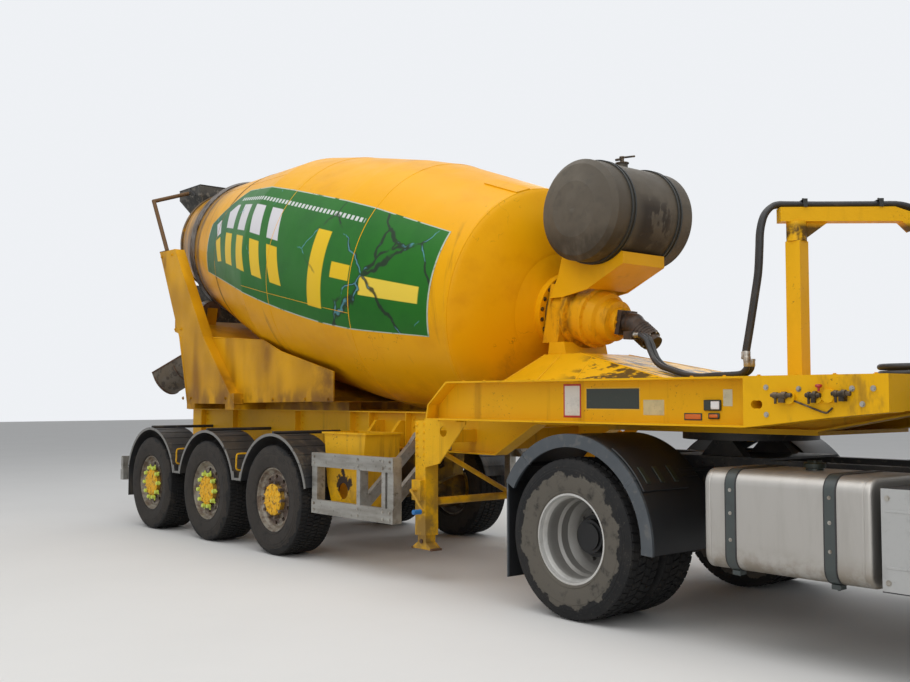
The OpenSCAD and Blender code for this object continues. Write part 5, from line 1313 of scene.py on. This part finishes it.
swaged = [(0, 34), (1, 18), (5, 8), (12, 2), (24, 0), (38, 0), (41, 2.2), (47, 2.2), (50, 0)]
tank = bmesh.new()
sleeved(tank, [tank_section(4810 + x, inset) for x, inset in swaged]
    + [tank_section(5830 - x, inset) for x, inset in reversed(swaged)])
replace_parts(finished("fuel_tank_shell", tank, brushed, "tractor"), "fuel_tank")
strap_steel = enamel("strap_steel", (0.045, 0.056, 0.054), 0.45, 0.5)
bands, liner = bmesh.new(), bmesh.new()
for x in (4960, 5570):
    sleeved(bands, [tank_section(x, -4), tank_section(x + 60, -4), tank_section(x + 60, 1),
        tank_section(x, 1)], True)
    block(bands, at(x + 2, -645, 862), at(x + 58, -380.5, 1004))
    for edge in (x - 2.5, x + 62.5):
        loop = tank_section(edge, -0.5)
        for a, b in zip(loop, loop[1:] + loop[:1]):
            if max(a.y, b.y) < at(0, -650, 0).y:
                rod(liner, a, b, 0.0052, 8)
    block(bands, at(x + 4, -1190, 448), at(x + 56, -1130, 474))
    rod(bands, at(x + 30, -1160, 440), at(x + 30, -1160, 480), 0.009, 10)
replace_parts(finished("tank_strap_bands", bands, strap_steel, "tractor", 0.001), "fuel_tank")
finished("strap_liners", liner, rubber, "tractor")
cap = bmesh.new()
turned(cap, [(0.0, -0.018), (0.048, -0.018), (0.048, -0.002), (0.060, 0.0), (0.062, 0.022), (0.054, 0.030),
    (0.030, 0.032), (0.0, 0.030)], facing(at(5320, -900, 1058), (0, 0, 1)), 32)
for k in range(3):
    a = k * math.pi / 3
    block(cap, (-0.044, -0.007, 0.028), (0.044, 0.007, 0.038),
        moved(at(5320, -900, 1058)) @ Matrix.Rotation(a, 4, "Z"))
finished("fuel_cap", cap, dark_enamel, "tractor", 0.001)
seats = [(at(x, -1244.5, z), (0, -1, 0)) for x in (4990, 5600) for z in (650, 800, 930)]
bolted("strap_screws", seats, 0.007, 0.005, plated, "tractor")

# Battery and step boxes: ribbed black plastic covers. The left one has aluminium treads, and the right one
# is closed by a pale grey sheet on four screws.
box_plastic = enamel("box_plastic", (0.03, 0.032, 0.035), 0.55, 0.6)
coat(box_plastic, "side_boxes")
treads = bmesh.new()
for z in (640, 860):
    block(treads, at(5900, 1236, z), at(6360, 1243, z + 60))
    for k in range(9):
        block(treads, at(5910 + k * 50, 1242, z + 8), at(5935 + k * 50, 1245, z + 52))
finished("step_treads", treads, weathered_alloy, "tractor", 0.002)
sheet = bmesh.new()
block(sheet, at(5881, -1244, 486), at(6379, -1232, 998))
for z in (600, 880):
    block(sheet, at(5905, -1246.5, z), at(6355, -1243, z + 12))
pale_grey = enamel("pale_grey", (0.40, 0.40, 0.39), 0.4, 0.35)
finished("side_sheet", sheet, pale_grey, "tractor", 0.004)
seats = [(at(x, -1244, z), (0, -1, 0)) for x in (5915, 6345) for z in (530, 950)]
bolted("side_sheet_screws", seats, 0.010, 0.006, plated, "tractor")
ribs = bmesh.new()
for k in range(9):
    block(ribs, at(4860 + k * 108, 1239, 560), at(4890 + k * 108, 1244, 960))
finished("box_ribs", ribs, box_plastic, "tractor", 0.002)

# Front wheels: single steered tyres with ribbed tread on silver discs, with a dark hub and ten plated
# nuts on each.
front_centre = at(front_axle_x, 0, hub_z)
f = Finish("front_disc", (0.5, 0.5, 0.48), 0.35, 0.7)
f.patch((0.25, 0.23, 0.2), 9, 0.45, 0.7, 0.6)
away = ring_distance(f, front_centre.x, front_centre.z)
f.layer((0.025, 0.025, 0.027), f.ramp(away, 0.121, 0.118))
coat(f.done(), "front_rim_left", "front_rim_right")
front_rubber = tyre_rubber("front_rubber", front_centre, None, 0.5, (0.10, 0.086, 0.07), 0.40)
for side, word in ((1, "left"), (-1, "right")):
    place = axle_place(at(front_axle_x, side * 1079, hub_z), side)
    tyre(f"front_tyre_piece_{word}", 0.530, 0.312, [place], f"front_wheel_{word}", f"front_tyre_{word}",
        front_rubber, 92, 5, 0.002)
    nut = bmesh.new()
    turned(nut, [(0.0215, 0.128), (0.0215, 0.132), (0.0145, 0.133), (0.0145, 0.167), (0, 0.168)],
        moved((0.148, 0, 0)), 6)
    repeated(f"front_nuts_{word}", nut, 10, plated, f"front_wheel_{word}", "bare_steel", place)

# Engine: one closed block between the rails, behind the radiator, grey and filmed with oil mist, because
# nothing inside it is modelled.
coat(enamel("engine_grey", (0.09, 0.095, 0.10), 0.5, 0.8), "engine")

# Cab: pressed steel panels in white gloss with black grille slats, a tinted windscreen, wipers, lamps in
# the bumper, door windows with handles, and two mirrors a side.
f = Finish("cab_white", (0.66, 0.67, 0.67), 0.3)
f.patch((0.6, 0.6, 0.58), 3, 0.5, 0.75, 0.25)
f.layer((0.3, 0.27, 0.23), f.ramp(f.along(2), 1.3, 0.85), f.spots(9, 0.4, 0.65, 0.6, shift=4))
mirror_zone = f.ramp(f.aside(), 1.2225, 1.2235)
f.layer((0.02, 0.02, 0.022), mirror_zone)
grille_zone = f.both(f.ramp(f.along(0), at(8668, 0, 0).x, at(8672, 0, 0).x),
    f.within(f.along(2), 0.985, 1.405, 0.002), f.ramp(f.aside(), 0.781, 0.778))
f.layer((0.03, 0.031, 0.033), grille_zone)
f.relief(f.noise(2), 0.001)
cab_white = f.done()
coat(cab_white, "cab_shell", "door_left", "door_right")
bumper_grey = enamel("bumper_grey", (0.11, 0.115, 0.12), 0.5, 0.5)
coat(bumper_grey, "front_bumper")
f = Finish("tinted_glass", (0.25, 0.32, 0.31), 0.03)
f.set("Transmission Weight", 0.85)
f.set("IOR", 1.45)
f.patch((0.2, 0.25, 0.24), 3, 0.5, 0.8, 0.3)
glass = f.done()
coat(glass, "cab_glass")
grille = bmesh.new()
for k in range(38):
    y = -740 + k * 40
    block(grille, at(8694, y, 1002), at(8702, y + 12, 1388))
finished("grille_mesh", grille, dark_enamel, "cab", 0.001)
lamp = bmesh.new()
for side in (-1, 1):
    for y in (905, 1035):
        turned(lamp, [(0, 0), (0.052, 0), (0.052, 0.006), (0.039, 0.012), (0, 0.014)],
            facing(at(8716, side * y, 560), (1, 0, 0)), 32)
finished("headlamps", lamp, clear_lens, "tractor")
wipers = bmesh.new()
for y in (-620, 0, 620):
    rod(wipers, at(8699, y, 1790), at(8655, y + 360, 2085), 0.008, 8)
    rod(wipers, at(8680, y + 60, 1930), at(8640, y + 560, 2130), 0.006, 8)
finished("wipers", wipers, dark_enamel, "cab")
for side, word in ((1, "left"), (-1, "right")):
    pane = bmesh.new()
    outline = ((7677, 1855), (8395, 1855), (8330, 2515), (7677, 2515))
    sleeved(pane, [[at(x, side * y, z) for x, z in outline] for y in (1192, 1197)])
    finished(f"door_window_{word}", pane, glass, f"door_{word}")
    handle = bmesh.new()
    block(handle, at(7640, side * 1206, 1580), at(7790, side * 1221, 1600))
    finished(f"door_handle_{word}", handle, dark_enamel, f"door_{word}", 0.004)
    mirror = bmesh.new()
    for z0, z1 in ((1830, 2080), (2100, 2240)):
        block(mirror, at(8518, side * 1268, z0), at(8520.5, side * 1392, z1))
    finished(f"mirror_faces_{word}", mirror, mottled(f"mirror_glass_{word}", (0.85, 0.86, 0.87), 0.03, 1.0,
        ((0.6, 0.6, 0.6), 8, 0.6, 0.8, 0.2)), "cab")

# Cab interior: two air-sprung seats in woven cloth, a foam mattress on the bunk's lockers, and a moulded
# dashboard with the steering wheel. Cloth is pulled over foam and sewn in channels.
floor_z = 1240
f = Finish("seat_cloth", (0.06, 0.066, 0.08), 0.85)
f.patch((0.045, 0.048, 0.058), 3, 0.4, 0.7, 0.5)
weave = f.both(f.ramp(f.calc("FRACT", f.calc("MULTIPLY", f.along(1), 160)), 0.3, 0.5),
    f.ramp(f.calc("FRACT", f.calc("MULTIPLY", f.along(2), 160)), 0.3, 0.5))
f.layer((0.12, 0.13, 0.15), weave, f.spots(30, 0.4, 0.6, 0.5))
f.relief(f.noise(260), 0.0008)
f.set("Sheen Weight", 0.25)
cloth = f.done()
f = Finish("mattress_ticking", (0.34, 0.35, 0.37), 0.9)
f.patch((0.26, 0.27, 0.3), 40, 0.45, 0.6, 0.5, stretch=(1, 0.2, 1))
f.relief(f.noise(200), 0.0008)
ticking = f.done()
trim = enamel("trim_grey", (0.055, 0.056, 0.060), 0.7, 0.3)


def cushion(name, size, place, crown, channels, finish, corner=0.045):
    """A sewn foam pad about its own middle: a crowned top, sides drawn in, and seams across it."""
    half = [c / 2 for c in size]
    pad = bmesh.new()
    bmesh.ops.create_cube(pad, size=2)
    bmesh.ops.subdivide_edges(pad, edges=pad.edges, cuts=27, use_grid_fill=True)
    for vert in pad.verts:
        u, v, w = vert.co
        edge = Vector((u * half[0], v * half[1], w * half[2]))
        core = Vector([max(-h + corner, min(h - corner, c)) for c, h in zip(edge, half)])
        out = edge - core
        spot = core + (out.normalized() * corner if out.length > 1e-9 else out)
        spot.x *= 1 - 0.035 * (1 - v * v) * abs(u)
        spot.y *= 1 - 0.035 * (1 - u * u) * abs(v)
        swell = (1 - u * u) * (1 - v * v)
        dip = sum(math.exp(-((u - c) / 0.035) ** 2) for c in channels) * (1 - v ** 6)
        spot.z -= crown
        if w > 0:
            spot.z += crown * swell * w - 0.012 * dip * w
        vert.co = place @ spot
    made = finished(name, pad, finish, "cab")
    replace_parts(made, "cab_interior")


bases = bmesh.new()
for side, word in ((1, "left"), (-1, "right")):
    middle = at(7870, side * 585, floor_z)
    cushion(f"seat_cushion_{word}", (0.430, 0.490, 0.150), moved(middle + Vector((0, 0, 0.335))), 0.022,
        (-0.45, 0.05, 0.5), cloth)
    lean = moved(at(7690, side * 585, 2000)) @ turned_by(-98, "Y")
    cushion(f"seat_back_{word}", (0.600, 0.450, 0.100), lean @ moved((-0.06, 0, 0)), 0.018,
        (-0.4, 0.0, 0.4), cloth)
    cushion(f"seat_headrest_{word}", (0.130, 0.280, 0.075), lean @ moved((0.325, 0, -0.01)), 0.010, (),
        cloth, corner=0.03)
    block(bases, at(7700, side * 585 - 150, floor_z), at(8040, side * 585 + 150, floor_z + 90))
    for k in range(5):
        z = floor_z + 90 + k * 34
        block(bases, at(7740 + 6 * (k % 2), side * 585 - 120 + 6 * (k % 2), z),
            at(8000 - 6 * (k % 2), side * 585 + 120 - 6 * (k % 2), z + 35))
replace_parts(finished("seat_bases", bases, trim, "cab", 0.004), "cab_interior")
bunk = bmesh.new()
block(bunk, at(6504, -1158, floor_z), at(7098, 1158, 1565))
for k in range(3):
    block(bunk, at(7096, -1120 + k * 760, 1290), at(7101.5, -1120 + k * 760 + 720, 1530))
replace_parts(finished("bunk_lockers", bunk, trim, "cab", 0.006), "cab_interior")
cushion("bunk_mattress", (0.585, 2.300, 0.130), moved(at(6801, 0, 1632)), 0.010, (-0.5, 0, 0.5), ticking,
    corner=0.035)
dash = bmesh.new()
side_shape = [(8354, 1240), (8630, 1240), (8630, 1686), (8560, 1690), (8440, 1690), (8408, 1678),
    (8330, 1600), (8304, 1562), (8318, 1500), (8352, 1440)]
sleeved(dash, [[at(x, y, z) for x, z in side_shape] for y in (-1155, 1155)])
for y0, y1 in ((400, 770), (-180, 260)):
    block(dash, at(8390, y0, 1655), at(8470, y1, 1700))
for y in (-1040, -560, 120, 1000):
    for k in range(4):
        block(dash, at(8345 + k * 9, y - 60, 1622 + k * 9), at(8352 + k * 9, y + 60, 1627 + k * 9))
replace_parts(finished("dashboard", dash, trim, "cab", 0.006), "cab_interior")
wheel = bmesh.new()
wheel_turn = moved(at(8212, 585, 1760)) @ turned_by(-23, "Y")
rim_loop = [(0.210 + 0.0145 * math.cos(a), 0.0145 * math.sin(a))
    for a in (2 * math.pi * k / 12 for k in range(12))]
turned(wheel, rim_loop + rim_loop[:1], wheel_turn, 64)
turned(wheel, [(0, -0.030), (0.055, -0.030), (0.062, -0.010), (0.060, 0.012), (0.045, 0.020), (0, 0.022)],
    wheel_turn, 32)
for k in range(3):
    block(wheel, (0.05, -0.016, -0.007), (0.205, 0.016, 0.007),
        wheel_turn @ Matrix.Rotation(k * math.tau / 3, 4, "Z"))
rod(wheel, at(8332, 585, 1480), at(8218, 585, 1748), 0.030, 20)
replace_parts(finished("steering_wheel", wheel, dark_enamel, "cab"), "cab_interior")

low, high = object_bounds()
